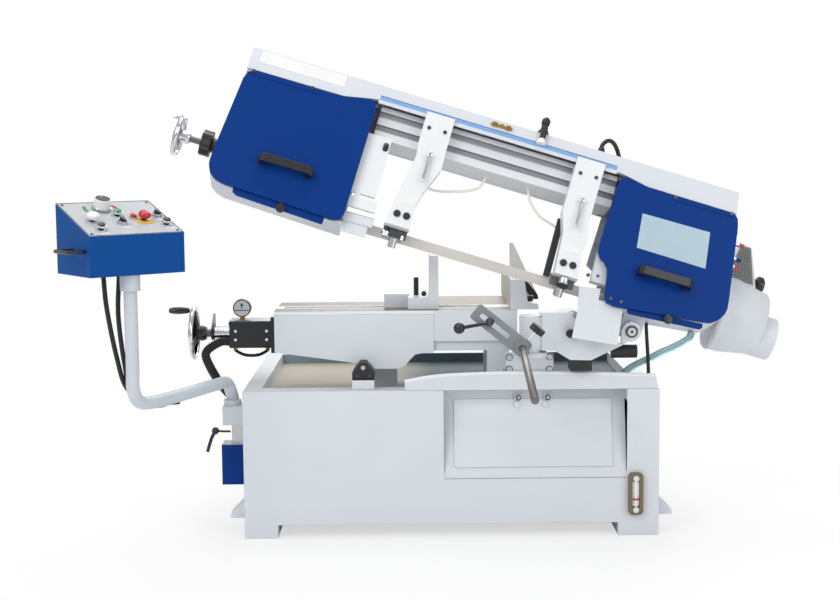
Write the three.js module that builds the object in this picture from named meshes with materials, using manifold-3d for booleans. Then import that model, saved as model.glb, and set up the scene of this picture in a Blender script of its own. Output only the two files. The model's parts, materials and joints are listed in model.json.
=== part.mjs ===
// Horizontal mitre band saw: cabinet, bed with vise, swivel arm, tilting bow and pendant.
// Millimetres, +X right, +Y away from the operator, +Z up.
import * as THREE from 'three';
import { mergeVertices } from 'three/addons/utils/BufferGeometryUtils.js';
import Module from 'manifold-3d';

const wasm = await Module();
wasm.setup();

// Shared clearances
const seatGap = 0.3;
const runningGap = 1.5;
const overrun = 6;
const sheet = 4;

// Cabinet
const cabinetWidth = 1120;
const cabinetDepth = 750;
const cabinetTop = 402;
const footHeight = 36;
const leftFootWidth = 90;
const rightFootWidth = 110;
const trayDepth = 30;
const trayFrontRim = 66;
const traySideRim = 47;
const trayBackRim = 50;
const earReach = 41;
const earHeight = 48;
const earDepth = 60;
const earRise = 14;
const earInset = 30;
const recessLeft = -20;
const recessWidth = 493;
const recessBottom = 161;
const recessDepth = 60;
const hatchWidth = 428;
const hatchHeight = 178;
const hatchMargin = 28;
const hatchTopDrop = 34;
const hatchLap = 16;
const gaugeWidth = 40;
const gaugeHeight = 116;
const gaugeDepth = 14;
const gaugeRight = 44;
const gaugeRise = 59;
const gaugeTubeRadius = 6;
const hookRadius = 8;

// Front apron
const apronLeft = -124;
const apronWidth = 680;
const apronHeight = 44;
const apronThickness = 12;

// Cutting line, mitre axis and table
const cutLineY = 5;
const mitreX = 212;
const tableRise = 206;
const tableFront = 88;
const tableDepth = 369;
const tableWidth = 227;
const tableMargin = 28;
const tableThickness = 18;
const tableApronHeight = 85;
const tableBandHeight = 27;
const tableBandInset = 10;
const tableWall = 14;
const tableLegWidth = 60;
const tableLegDepth = 220;
const tableLegInset = 22;

// Bed
const bedLength = 436;
const bedDepth = 232;
const bedHeight = 160;
const bedWall = 12;
const bedPlateThickness = 10;
const bedPostWidth = 66;
const bedPostDepth = 110;
const bedPostShare = 0.61;
const slotWidth = 40;
const slotCentre = 102;
const slotEndMargin = 20;
const slotReach = 130;
const pedestalLeft = 213;
const pedestalWidth = 60;
const pedestalBlockHeight = 26;
const pedestalBracketHeight = 48;
const pedestalFront = 20;
const pedestalBlockDepth = 44;

// Mitre column
const columnHalfWidth = 64;
const columnFront = 14;
const columnUpperDepth = 44;
const columnDepth = 146;
const columnShoulder = 38;
const columnHeight = 94;
const turntableRadius = 46;
const turntableThickness = 8;

// Vise
const jawPlateX = 166;
const jawThickness = 14;
const jawHeight = 82;
const jawFront = 110;
const jawLength = 400;
const jawFootReach = 76;
const jawFootHeight = 14;
const jawRibThickness = 22;
const jawRibFront = 90;
const backPlateY = 346;
const backPlateThickness = 5;
const backPlateHeight = 165;
const backPlateReach = 84;
const movingJawX = -30;
const movingJawDepth = 150;
const movingJawHeight = 147;
const movingJawThickness = 24;
const movingJawFootReach = 84;
const movingJawFootHeight = 32;
const jawNutWidth = 66;
const jawNutHeight = 38;
const jawNutDepth = 60;
const jawPinRadius = 7;
const jawPinHeight = 50;
const jawPinReach = 61;
const screwRadius = 13.5;
const screwDrop = 70;
const cylinderLength = 130;
const cylinderHeight = 77;
const cylinderDepth = 86;
const cylinderFlange = 14;
const cylinderFlangeHeight = 100;
const cylinderFlangeDepth = 112;
const cylinderToWheel = 92;
const wheelRimRadius = 75;
const wheelRimThickness = 11;
const wheelHubRadius = 20;
const wheelHubLength = 44;
const wheelSpokeRadius = 6;
const crankLength = 58;
const crankRadius = 10;
const crankSpindleRadius = 4;
const dialGaugeRadius = 24;
const dialGaugeDepth = 22;
const dialGaugeRise = 32;
const dialGaugeInset = 32;
const dialStemRadius = 6;

// Swivel arm
const armFront = 30;
const armWallThickness = 14;
const armHeight = 128;
const armOverTable = 4;
const armCoreDrop = 8.5;
const armDepth = 230;
const armFloor = 22;
const hubRadius = 29;
const hubWebShare = 0.79;
const hubDrop = 6;
const pivotReach = 267;
const pivotDrop = 48;
const pivotLugRadius = 25;
const pivotShaftRadius = 10;
const pivotRingRadius = 16.5;
const pivotRingThickness = 6;
const earThickness = 18;
const armSideOffset = 31;
const pocketReach = 31;
const pocketWidth = 58;
const pocketWall = 3.5;
const pocketDepth = 54;
const pocketHeight = 42;
const clampFootReach = 106;
const clampFootWidth = 57;
const clampFootHeight = 29;
const clampFootDepth = 76;
const armKnobReach = 103;
const armKnobRadius = 12;
const armKnobDepth = 20;
const liftRadius = 18;
const liftLength = 69;
const liftReach = 222;
const liftDrop = 110;

// Length stop
const stopRodRadius = 9.5;
const stopRodLength = 672;
const stopRodDrop = 79;
const stopRodLeft = 26;
const stopRodBoss = 36;
const stopPlateAlong = 42;
const stopPlateThickness = 12;
const stopPlateLength = 176;
const stopPlateWidth = 46;
const stopSlotWidth = 14;
const stopSlotLength = 96;
const stopSlotStart = 44;
const stopClampSize = 34;
const ballRadius = 15;
const ballReach = 79;
const ballLeverRadius = 5;
const ballPivotAlong = 110;
const ballPivotRadius = 12;
const starKnobRadius = 22;
const starKnobHeight = 20;
const starLobeShare = 0.09;
const starLobes = 5;
const starStemLength = 26;
const starStemRadius = 5;

// Bow
const bladeDrop = 60;
const bandWheelRadius = 170;
const leftWheelInset = 189;
const rightWheelX = 33;
const bandWidth = 27;
const bandThickness = 0.9;
const bandWheelWidth = 28;
const bandFlange = 4;
const bandHubRadius = 34;
const bandRimThickness = 16;
const bowFront = 40;
const spineFront = 50;
const bowBack = 78;
const bowTop = 381;
const bowWall = 6;
const spineInset = 19;
const spineRight = 187;
const spineLower = 341;
const leftHousingWidth = 378;
const rightHousingX = -149;
const rightHousingWidth = 376;
const housingBottom = -29;
const housingHeight = 346;
const coverDepth = 14;
const coverSheet = 2;
const coverHingeOut = 3;
const housingLip = 16;
const coverTopShare = 0.99;
const bandExitShare = 0.85;
const rightDoorShare = 0.16;
const beamRight = -138;
const beamToHousing = 13;
const beamLength = 666;
const beamBottom = 245;
const beamHeight = 90;
const beamFront = 20;
const beamGrooveHeight = 17;
const beamGrooveDepth = 8;
const beamFlatHeight = 22;
const webThickness = 18;
const lipHeight = 10;
const barrelRadius = 30;
const linkHalfWidth = 30;
const linkHeight = 48;
const linkDepth = 60;

// Guides
const leftGuideInset = 159;
const rightGuideInset = 85;
const leftHeadOffset = -30;
const rightHeadOffset = 9;
const guideArmBack = 20.6;
const guideArmHeight = 330;
const guideArmWidth = 84;
const guideArmBottom = 14;
const guideArmFront = 60;
const guideClampTop = 328;
const guideHeadWidth = 62;
const guideHeadHalfDepth = 24;
const guideHeadHeight = 27;
const guideHeadDrop = 1;
const guideSlotWidth = 4;
const rollerRadius = 11;
const rollerLength = 27;
const rollerSpindleRadius = 4;
const leverLength = 82;
const leverRadius = 4;
const leverEndRadius = 5;
const leverHubRadius = 9;
const leverHubDepth = 16;
const leverRise = 224;
const guardOverBeam = 28;
const guardWidth = 80;
const guardBottom = 78;
const guardHeight = 170;
const guardBack = 20;
const guardSheet = 5;
const guardFootWidth = 90;
const guardFootHeight = 30;
const guardFootDrop = 40;

// Wheels of the blade tension
const tensionWheelRadius = 57;
const tensionWheelRim = 8;
const tensionHubRadius = 17;
const spinnerShare = 0.8;
const tensionWheelOut = 101;
const tensionHubLength = 46;
const tensionZ = 113;
const tensionY = 40;
const lockWheelRadius = 37;
const lockWheelThickness = 30;
const lockBossLength = 20;
const lockBossShare = 0.7;
const tensionScrewRadius = 9;
const tensionSlideWidth = 120;
const tensionSlideHeight = 150;
const tensionSlideDepth = 54;
const spindleRadius = 12;

// Drive
const gearboxLeft = -40;
const gearboxWidth = 190;
const gearboxBottom = 70;
const gearboxHeight = 170;
const gearboxDepth = 76;
const motorRadius = 107;
const motorX = 231;
const motorLength = 131;
const motorChamfer = 5;
const motorStubDrop = 32;
const motorStubRadius = 59;
const motorStubLength = 44;
const motorY = 120;
const motorZ = 91;
const motorNeckRadius = 32;
const cowlHeight = 150;
const cowlDepth = 50;
const cowlWidth = 110;

// Splash plate, top fittings and cable loop
const splashWidth = 136;
const splashHeight = 150;
const splashThickness = 3;
const splashLeft = -170;
const splashTop = 13;
const fittingX = -366;
const fittingRadius = 9;
const fittingHeight = 34;
const fittingConeRadius = 20;
const fittingConeHeight = 24;
const glandX = -198;
const glandRadius = 11;
const glandHeight = 26;
const loopRadius = 6;
const loopHeight = 54;
const loopSpan = 76;

// Handles on the covers
const handleLength = 146;
const handleDepth = 40;
const handleHeight = 22;
const handleBar = 13;
const handleShoulderShare = 0.7;
const handleFoot = 22;
const leftHandleInset = 197;
const rightHandleX = 41;
const handleZ = 82;

// Pendant
const socketX = -598;
const socketY = 99;
const socketRadius = 24;
const socketHeight = 60;
const bracketThickness = 14;
const bracketHeight = 66;
const bracketDepth = 70;
const bracketTop = 366;
const pipeRadius = 17;
const pipeReachX = -197;
const pipeReachY = -379;
const pipeBend = 46;
const pipeLow = 26;
const pipeHigh = 316;
const collarRadius = 25;
const collarHeight = 40;
const boxWidth = 255;
const boxDepth = 185;
const boxFrontHeight = 100;
const boxBackHeight = 174;
const boxOffsetX = 8;
const boxOffsetY = 60;
const boxSheet = 3;
const bailHeightShare = 0.62;
const bailReach = 46;
const bailRadius = 5;
const dialRadius = 21;
const dialTopRadius = 17;
const dialHeight = 26;
const mushroomRadius = 17;
const mushroomNeckRadius = 13.6;
const mushroomCrownRadius = 10.2;
const mushroomHeight = 16;
const buttonRadius = 12;
const buttonHeight = 9;
const buttonStroke = 4;
const bezelRadius = 15;
const bezelHeight = 4;
const selectorHeight = 12;
const selectorHalfWidth = 3.6;
const selectorHalfLength = 10.8;
const valveBlockWidth = 38;
const valveBlockHeight = 54;
const valveBoxWidth = 64;
const valveBoxHeight = 107;
const valveDepth = 64;
const valveBlockShare = 0.7;
const valveY = 70;

// Hoses and cables
const drainRadius = 10;
const drainX = 176;
const drainEndInset = 100;
const drainEndDepth = 42;
const cableRadius = 5;
const bowCableX = 48;
const cableEndInset = 19;
const outletInset = 14;
const conduitRadius = 13;
const conduitRibHeight = 2;
const conduitBore = 9;
const conduitRibPitch = 9;
const conduitStartShare = 0.28;
const conduitLead = 65;
const hoseRadius = 4.5;

// Angles, in degrees
const stopRodTurn = 1.8;
const stopRodDip = 2.5;
const stopPlateLean = 141;
const starKnobLean = 102;
const bowTiltAngle = 20;
const bowRaiseAngle = 17;
const pendantTurn = 38;

// Sides of round pieces, band stations round half a wheel and along both runs, and hose steps
const bandTurnSteps = 16;
const bandRunSteps = 24;
const bandTopSteps = 3;
const pipeSteps = 44;
const hoseSteps = 20;
const fineSides = 24;
const roundSides = 14;
const tubeSides = 10;
const smallSides = 8;

const radians = THREE.MathUtils.degToRad;
const tableTop = cabinetTop + tableRise;
const bedLeft = mitreX - tableMargin - tableWidth - bedLength;
const tableLeft = mitreX - tableMargin - tableWidth;
const tableRight = mitreX - tableMargin;
const slotY = tableFront + slotCentre;
const screwZ = tableTop - screwDrop;
const jawKeyDrop = screwDrop + screwRadius + runningGap + bedWall / 2;
const armTop = tableTop + armOverTable;
const beamLeft = beamRight - beamLength;
const leftHousingX = beamLeft - beamToHousing - leftHousingWidth;
const spineLeft = leftHousingX + spineInset;
const spineLength = spineRight - spineLeft;
const leftWheelX = leftHousingX + leftWheelInset;
const leftGuideX = beamLeft + leftGuideInset;
const rightGuideX = beamRight - rightGuideInset;
const guardLeft = beamLeft - guardOverBeam;
const tensionWheelX = leftHousingX - tensionWheelOut;
const leftHandleX = leftHousingX + leftHandleInset;
const pivotZ = tableTop - pivotDrop;
const tilt = new THREE.Matrix4()
  .makeRotationX(-radians(bowTiltAngle))
  .setPosition(0, 0, bladeDrop);

// Colours and finishes
function paint(color, roughness, metalness) {
  return new THREE.MeshStandardMaterial({ color, roughness, metalness });
}
const greyPaint = () => paint(0xd4dae2, 0.45, 0.1);
const bluePaint = () => paint(0x0a3e87, 0.4, 0.1);
const blackPlastic = () => paint(0x17191c, 0.45, 0);
const castBlack = () => paint(0x24262a, 0.6, 0.3);
const groundSteel = () => paint(0xb8b6b2, 0.3, 0.9);
const chrome = () => paint(0xe0e2e6, 0.12, 1);
const creamPaint = () => paint(0xd9d2bf, 0.5, 0.1);

// Outlines
function outline(shares, x0, y0, width, height) {
  return shares.map(([u, v]) => new THREE.Vector2(x0 + u * width, y0 + v * height));
}

function rectangle(x0, x1, y0, y1) {
  return [
    new THREE.Vector2(x0, y0),
    new THREE.Vector2(x1, y0),
    new THREE.Vector2(x1, y1),
    new THREE.Vector2(x0, y1),
  ];
}

function circle(x, y, radius, sides) {
  return Array.from({ length: sides }, (_, i) => {
    const angle = (i / sides) * 2 * Math.PI;
    return new THREE.Vector2(x + radius * Math.cos(angle), y + radius * Math.sin(angle));
  });
}

// Rounds every corner of an outline with a short arc
function rounded(points, radius, steps = 3) {
  const result = [];
  points.forEach((corner, i) => {
    const before = points[(i + points.length - 1) % points.length];
    const after = points[(i + 1) % points.length];
    const reachIn = Math.min(radius, corner.distanceTo(before) / 3);
    const reachOut = Math.min(radius, corner.distanceTo(after) / 3);
    const start = corner.clone().lerp(before, reachIn / corner.distanceTo(before));
    const end = corner.clone().lerp(after, reachOut / corner.distanceTo(after));
    const arc = new THREE.QuadraticBezierCurve(start, corner, end);
    result.push(...arc.getPoints(steps));
  });
  return result;
}

// Moves every edge of an outline inwards by one distance
function inset(points, distance) {
  const turn = Math.sign(THREE.ShapeUtils.area(points));
  return points.map((corner, i) => {
    const before = points[(i + points.length - 1) % points.length];
    const after = points[(i + 1) % points.length];
    const a = corner.clone().sub(before).normalize();
    const b = after.clone().sub(corner).normalize();
    const normalA = new THREE.Vector2(-a.y, a.x).multiplyScalar(turn);
    const normalB = new THREE.Vector2(-b.y, b.x).multiplyScalar(turn);
    const middle = normalA.clone().add(normalB).normalize();
    return corner.clone().addScaledVector(middle, distance / middle.dot(normalA));
  });
}

function extruded(points, depth, holes) {
  const shape = new THREE.Shape(points);
  shape.holes = holes.map((hole) => new THREE.Path(hole));
  return new THREE.ExtrudeGeometry(shape, { depth, bevelEnabled: false, steps: 1 });
}

// An outline in X and Z, carried along Y
function front(points, y0, y1, holes = []) {
  return extruded(points, y1 - y0, holes).rotateX(Math.PI / 2).translate(0, y1, 0);
}

// An outline in X and Y, carried along Z
function plan(points, z0, z1, holes = []) {
  return extruded(points, z1 - z0, holes).translate(0, 0, z0);
}

// An outline in Y and Z, carried along X
function side(points, x0, x1, holes = []) {
  const basis = new THREE.Matrix4().makeBasis(
    new THREE.Vector3(0, 1, 0),
    new THREE.Vector3(0, 0, 1),
    new THREE.Vector3(1, 0, 0),
  );
  return extruded(points, x1 - x0, holes).applyMatrix4(basis).translate(x0, 0, 0);
}

// Radius of a faceted bore whose flats clear a round bar of the given radius
function boreRadius(radius, sides) {
  return (radius + seatGap) / Math.cos(Math.PI / sides);
}

function block(x0, x1, y0, y1, z0, z1) {
  const box = new THREE.BoxGeometry(x1 - x0, y1 - y0, z1 - z0);
  return box.translate((x0 + x1) / 2, (y0 + y1) / 2, (z0 + z1) / 2);
}

// A round bar from one point to another, tapered where the second radius is given
function bar(radius, from, to, sides = roundSides, endRadius = radius) {
  const start = new THREE.Vector3(...from);
  const end = new THREE.Vector3(...to);
  const direction = end.clone().sub(start);
  const geometry = new THREE.CylinderGeometry(endRadius, radius, direction.length(), sides);
  const turn = new THREE.Quaternion().setFromUnitVectors(
    new THREE.Vector3(0, 1, 0),
    direction.clone().normalize(),
  );
  geometry.applyQuaternion(turn);
  const middle = start.add(end).multiplyScalar(1 / 2);
  return geometry.translate(middle.x, middle.y, middle.z);
}

// A body of revolution about Z; profile points are radius and height
function turned(profile, sides = roundSides) {
  const points = profile.map(([radius, height]) => new THREE.Vector2(radius, height));
  return new THREE.LatheGeometry(points, sides).rotateX(Math.PI / 2);
}

// The same about X, and about Y with the front towards the operator
function turnedX(profile, sides) {
  return turned(profile, sides).rotateY(Math.PI / 2);
}

function turnedY(profile, sides) {
  return turned(profile, sides).rotateX(Math.PI / 2);
}

// A round tube along a smooth curve through the given points
function tube(points, radius, steps, sides = smallSides) {
  const curve = new THREE.CatmullRomCurve3(points.map((p) => new THREE.Vector3(...p)));
  const shape = new THREE.Shape(circle(0, 0, radius, sides));
  return new THREE.ExtrudeGeometry(shape, { steps, extrudePath: curve, bevelEnabled: false });
}

// Merges shared corners and turns the faces outwards
function closed(geometry) {
  const plain = geometry.clone();
  plain.deleteAttribute('normal');
  plain.deleteAttribute('uv');
  const merged = mergeVertices(plain);
  const corners = merged.attributes.position;
  const index = merged.index.array;
  const [a, b, c] = [new THREE.Vector3(), new THREE.Vector3(), new THREE.Vector3()];
  let volume = 0;
  for (let i = 0; i < index.length; i += 3) {
    a.fromBufferAttribute(corners, index[i]);
    b.fromBufferAttribute(corners, index[i + 1]);
    c.fromBufferAttribute(corners, index[i + 2]);
    volume += a.dot(b.cross(c));
  }
  if (volume < 0) {
    for (let i = 0; i < index.length; i += 3) {
      [index[i], index[i + 1]] = [index[i + 1], index[i]];
    }
  }
  merged.computeVertexNormals();
  return merged;
}

// Joining and cutting
function toSolid(geometry) {
  const merged = closed(geometry);
  return new wasm.Manifold(
    new wasm.Mesh({
      numProp: 3,
      vertProperties: new Float32Array(merged.attributes.position.array),
      triVerts: new Uint32Array(merged.index.array),
    }),
  );
}

function fromSolid(solid) {
  const mesh = solid.getMesh();
  const geometry = new THREE.BufferGeometry();
  geometry.setAttribute('position', new THREE.BufferAttribute(new Float32Array(mesh.vertProperties), 3));
  geometry.setIndex(new THREE.BufferAttribute(new Uint32Array(mesh.triVerts), 1));
  geometry.computeVertexNormals();
  return geometry;
}

function join(first, ...others) {
  return fromSolid(others.reduce((sum, next) => sum.add(toSolid(next)), toSolid(first)));
}

function cut(first, ...tools) {
  return fromSolid(tools.reduce((rest, tool) => rest.subtract(toSolid(tool)), toSolid(first)));
}

// Scene graph
const machine = new THREE.Group();

function piece(name, geometry, material, parent = machine) {
  const mesh = new THREE.Mesh(closed(geometry), material);
  mesh.name = name;
  parent.add(mesh);
  return mesh;
}

function place(name, parent, x, y, z) {
  const group = new THREE.Group();
  group.name = name;
  group.position.set(x, y, z);
  parent.add(group);
  return group;
}

// Cabinet: a folded sheet shell with a chip tray on top and a sloping service recess in front
const halfWidth = cabinetWidth / 2;
const recessAngle = Math.atan2(recessDepth, cabinetTop - recessBottom);
const trayFloor = cabinetTop - trayDepth;

function recessCut() {
  const right = recessLeft + recessWidth;
  const slopeShares = [[0, 0], [1, 1], [1, 1 + overrun / cabinetTop], [-overrun / recessDepth, 1]];
  const points = outline(slopeShares, 0, recessBottom, recessDepth, cabinetTop - recessBottom);
  return side([...points, new THREE.Vector2(-overrun, recessBottom)], recessLeft, right);
}

function hatchOpening() {
  const x0 = recessLeft + hatchMargin + hatchLap;
  const x1 = recessLeft + hatchMargin + hatchWidth - hatchLap;
  const z1 = cabinetTop - hatchTopDrop - hatchLap;
  const z0 = z1 - hatchHeight + 2 * hatchLap;
  return block(x0, x1, -overrun, recessDepth + overrun, z0, z1);
}

function mountingEar(sideSign, y) {
  const x0 = sideSign * halfWidth;
  const bottom = footHeight + earRise;
  const gussetShares = [[0, 0], [1, 0], [1, 0.25], [0.12, 1], [0, 1]];
  const points = outline(gussetShares, x0, bottom, sideSign * earReach, earHeight);
  return front(sideSign > 0 ? points : points.reverse(), y, y + earDepth);
}

function cabinetShell() {
  const outer = block(-halfWidth, halfWidth, 0, cabinetDepth, footHeight, cabinetTop);
  const tray = block(
    -halfWidth + traySideRim, halfWidth - traySideRim,
    trayFrontRim, cabinetDepth - trayBackRim,
    trayFloor, cabinetTop + overrun,
  );
  const hollow = cut(
    block(
      -halfWidth + sheet, halfWidth - sheet,
      sheet, cabinetDepth - sheet,
      footHeight + sheet, trayFloor - sheet,
    ),
    recessCut().translate(0, sheet, 0),
  );
  const feet = [
    block(-halfWidth, -halfWidth + leftFootWidth, 0, cabinetDepth, 0, footHeight + sheet / 2),
    block(halfWidth - rightFootWidth, halfWidth, 0, cabinetDepth, 0, footHeight + sheet / 2),
  ];
  const footHollows = [
    block(
      -halfWidth + sheet, -halfWidth + leftFootWidth - sheet,
      sheet, cabinetDepth - sheet, -overrun, footHeight - sheet,
    ),
    block(
      halfWidth - rightFootWidth + sheet, halfWidth - sheet,
      sheet, cabinetDepth - sheet, -overrun, footHeight - sheet,
    ),
  ];
  const backEarY = cabinetDepth - earInset - earDepth;
  const ears = [-1, 1].flatMap((sign) => [mountingEar(sign, earInset), mountingEar(sign, backEarY)]);
  return cut(join(outer, ...feet, ...ears), recessCut(), tray, hollow, hatchOpening(), ...footHollows);
}
piece('base_cabinet', cabinetShell(), greyPaint());

// Hatch lying on the sloping recess, lifted off along its normal
const hatchTop = cabinetTop - hatchTopDrop;
const hatchSlopeY = ((hatchTop - recessBottom) / (cabinetTop - recessBottom)) * recessDepth;
const hatchJoint = place('hatch_joint', machine, recessLeft + hatchMargin, hatchSlopeY, hatchTop);
hatchJoint.rotation.x = -recessAngle;
function hatchPanel() {
  const slopeHeight = hatchHeight / Math.cos(recessAngle);
  const panel = block(0, hatchWidth, -sheet - seatGap, -seatGap, -slopeHeight, 0);
  const hookShares = [0.4, 0.58];
  const hooks = hookShares.map((share) => {
    const x = share * hatchWidth;
    const z = -2 * hookRadius;
    return bar(hookRadius, [x, -sheet / 2, z], [x, -sheet - hookRadius, z], smallSides);
  });
  return join(panel, ...hooks);
}
piece('hatch_panel', hatchPanel(), greyPaint(), hatchJoint);

// Sight gauge for the oil level
function levelGauge() {
  const x = halfWidth - gaugeRight - gaugeWidth;
  const z = gaugeRise;
  const frame = rounded(rectangle(x, x + gaugeWidth, z, z + gaugeHeight), gaugeWidth / 3);
  const window = rectangle(
    x + gaugeWidth / 4, x + (gaugeWidth * 3) / 4,
    z + gaugeHeight / 5, z + (gaugeHeight * 4) / 5,
  );
  const body = front(frame, -gaugeDepth, -seatGap);
  const groove = front(window, -gaugeDepth - overrun, -gaugeDepth / 3);
  const middle = x + gaugeWidth / 2;
  const tubeLow = [middle, -gaugeDepth / 2, z + gaugeHeight / 6];
  const tubeHigh = [middle, -gaugeDepth / 2, z + (gaugeHeight * 5) / 6];
  return join(cut(body, groove), bar(gaugeTubeRadius, tubeLow, tubeHigh, smallSides));
}
piece('level_gauge', levelGauge(), chrome());

// Curved apron along the front edge of the cabinet top
const apronShares = [
  [0, 0], [1, 0], [0.99, 0.77], [0.72, 0.93], [0.46, 1], [0.15, 0.86], [0, 0.52],
];
piece(
  'front_apron',
  front(
    outline(apronShares, apronLeft, cabinetTop + seatGap, apronWidth, apronHeight),
    0, apronThickness,
  ),
  greyPaint(),
);

// Bed casting with its wear plate, open below
const bedPlateTop = tableTop;
const bedTop = tableTop - bedPlateThickness;
const bedBottom = tableTop - bedHeight;
const bedShares = [
  [0, 1], [0, 0.32], [0.484, 0.12], [0.608, 0], [0.77, 0], [0.815, 0.05], [0.85, 0.17],
  [0.88, 0.26], [0.94, 0.29], [1, 0.29], [1, 1],
];
function bedCasting() {
  const points = outline(bedShares, bedLeft, bedBottom, bedLength, bedTop - bedBottom).reverse();
  const bodyEndX = tableLeft - seatGap;
  const body = front(points, tableFront, tableFront + bedDepth);
  const trim = block(
    bodyEndX, tableLeft + overrun, tableFront - overrun, tableFront + bedDepth + overrun,
    bedBottom - overrun, tableTop + overrun,
  );
  const hollow = front(
    inset(points, bedWall),
    tableFront + bedWall,
    tableFront + bedDepth - bedWall,
  );
  const postX = bedLeft + bedPostShare * bedLength;
  const postBack = tableFront + bedDepth;
  const post = block(
    postX, postX + bedPostWidth, postBack - bedPostDepth, postBack,
    trayFloor + seatGap, bedBottom + bedWall / 2,
  );
  const postHollow = block(
    postX + bedWall, postX + bedPostWidth - bedWall,
    postBack - bedPostDepth + bedWall, postBack - bedWall,
    trayFloor - overrun, bedBottom + bedWall + overrun,
  );
  const slot = block(
    bedLeft + slotEndMargin, tableLeft + overrun, slotY - slotWidth / 2, slotY + slotWidth / 2,
    bedTop - bedWall - overrun, tableTop,
  );
  const keyway = block(
    tableLeft - bedWall - overrun, tableLeft + overrun, slotY - slotWidth / 2, slotY + slotWidth / 2,
    tableTop - jawKeyDrop - runningGap, bedTop,
  );
  const bore = bar(
    boreRadius(screwRadius, roundSides),
    [bedLeft - overrun, slotY, screwZ], [tableLeft + overrun, slotY, screwZ],
  );
  return cut(join(body, post), trim, hollow, postHollow, slot, keyway, bore);
}
piece('bed_body', bedCasting(), greyPaint());

function wearPlate() {
  const right = tableLeft - seatGap;
  const plate = block(
    bedLeft, right, tableFront, tableFront + bedDepth, bedTop + seatGap, bedPlateTop,
  );
  const slot = block(
    bedLeft + slotEndMargin, right + overrun, slotY - slotWidth / 2, slotY + slotWidth / 2,
    bedTop - overrun, bedPlateTop + overrun,
  );
  return cut(plate, slot);
}
piece('bed_wear_plate', wearPlate(), groundSteel());

// Work table at the cutting line, with a leg down to the tray floor
function sawTable() {
  const z1 = tableTop;
  const z0 = tableTop - tableThickness;
  const back = tableFront + tableDepth;
  const top = block(tableLeft, tableRight, tableFront, back, z0, z1);
  const apron = block(
    tableLeft, tableRight, tableFront, tableFront + tableWall, z1 - tableApronHeight, z0 + sheet,
  );
  const band = block(
    tableLeft, tableRight, tableFront + tableBandInset, tableFront + tableBandInset + tableWall,
    z1 - tableApronHeight - tableBandHeight, z0 + sheet,
  );
  const rear = block(tableLeft, tableRight, back - tableWall, back, z1 - tableApronHeight, z0 + sheet);
  const legX = tableRight - tableLegInset - tableLegWidth;
  const legY = tableFront + tableBandInset;
  const leg = block(legX, legX + tableLegWidth, legY, legY + tableLegDepth, trayFloor + seatGap, z0 + sheet);
  const legHollow = block(
    legX + tableWall, legX + tableLegWidth - tableWall, legY + tableWall + tableWall,
    legY + tableLegDepth - tableWall, trayFloor - overrun, z0 - tableWall,
  );
  const slot = block(
    tableLeft - overrun, tableLeft + slotReach, slotY - slotWidth / 2, slotY + slotWidth / 2,
    z0 - overrun, z1 + overrun,
  );
  const columnClear = block(
    mitreX - columnHalfWidth - runningGap, tableRight + overrun,
    columnFront, columnFront + columnDepth + runningGap,
    0, cabinetTop + columnShoulder + runningGap,
  );
  return cut(join(top, apron, band, rear, leg), legHollow, slot, columnClear);
}
piece('saw_table', sawTable(), greyPaint());

// Pedestal under the bed: a block on the rim and a gusseted bracket bolted to the bed front
function bedPedestal() {
  const x0 = bedLeft + pedestalLeft;
  const x1 = x0 + pedestalWidth;
  const z0 = cabinetTop + seatGap;
  const z1 = z0 + pedestalBlockHeight;
  const foot = block(x0, x1, pedestalFront, pedestalFront + pedestalBlockDepth, z0, z1);
  const bracketShares = [
    [0, 0], [1, 0], [1, 0.4], [0.86, 0.68], [0.64, 1], [0.36, 1], [0.14, 0.68], [0, 0.4],
  ];
  const bracketTop = pedestalBracketHeight;
  const bracketFront = pedestalFront + pedestalBlockDepth / 4;
  const bracket = front(
    outline(bracketShares, x0, z1 - sheet / 2, pedestalWidth, bracketTop),
    bracketFront, tableFront - seatGap,
  );
  return join(foot, bracket);
}
piece('bed_pedestal', bedPedestal(), castBlack());

// Column carrying the mitre pivot
function mitreColumn() {
  const x0 = mitreX - columnHalfWidth;
  const x1 = mitreX + columnHalfWidth;
  const z0 = cabinetTop + seatGap;
  const upper = block(x0, x1, columnFront, columnFront + columnUpperDepth, z0, cabinetTop + columnHeight);
  const shoulder = cabinetTop + columnShoulder;
  const lower = block(x0, x1, columnFront, columnFront + columnDepth, z0, shoulder);
  const trayY = trayFrontRim + seatGap;
  const stub = block(x0, x1, trayY, columnFront + columnDepth, trayFloor + seatGap, shoulder);
  const disc = turned([
    [0, cabinetTop + columnHeight - sheet],
    [turntableRadius, cabinetTop + columnHeight - sheet],
    [turntableRadius, cabinetTop + columnHeight + turntableThickness],
    [0, cabinetTop + columnHeight + turntableThickness],
  ], fineSides).translate(mitreX, cutLineY, 0);
  return join(upper, lower, stub, disc);
}
piece('mitre_column', mitreColumn(), greyPaint());

// Fixed jaw with its ribbed foot, and the tall guard plate behind it
function fixedJaw() {
  const z0 = tableTop + seatGap;
  const face = block(jawPlateX, jawPlateX + jawThickness, jawFront, jawFront + jawLength, z0, z0 + jawHeight);
  const ribShares = [[0, 0], [1, 0], [1, 0.17], [0.62, 0.24], [0.5, 1], [0, 1]];
  const rib = front(
    outline(ribShares, jawPlateX, z0, jawFootReach, jawHeight),
    jawRibFront, jawRibFront + jawRibThickness,
  );
  const foot = block(
    jawPlateX, jawPlateX + jawFootReach, jawRibFront, jawRibFront + 2 * jawRibThickness,
    z0, z0 + jawFootHeight,
  );
  return join(face, rib, foot);
}
piece('fixed_jaw', fixedJaw(), greyPaint());

const backPlateShares = [[0, 0], [1, 0], [1, 0.04], [0.12, 1], [0, 1]];
piece(
  'jaw_guard_plate',
  front(
    outline(
      backPlateShares, jawPlateX + jawThickness + seatGap, tableTop + seatGap,
      backPlateReach, backPlateHeight,
    ),
    backPlateY, backPlateY + backPlateThickness,
  ),
  creamPaint(),
);

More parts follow.
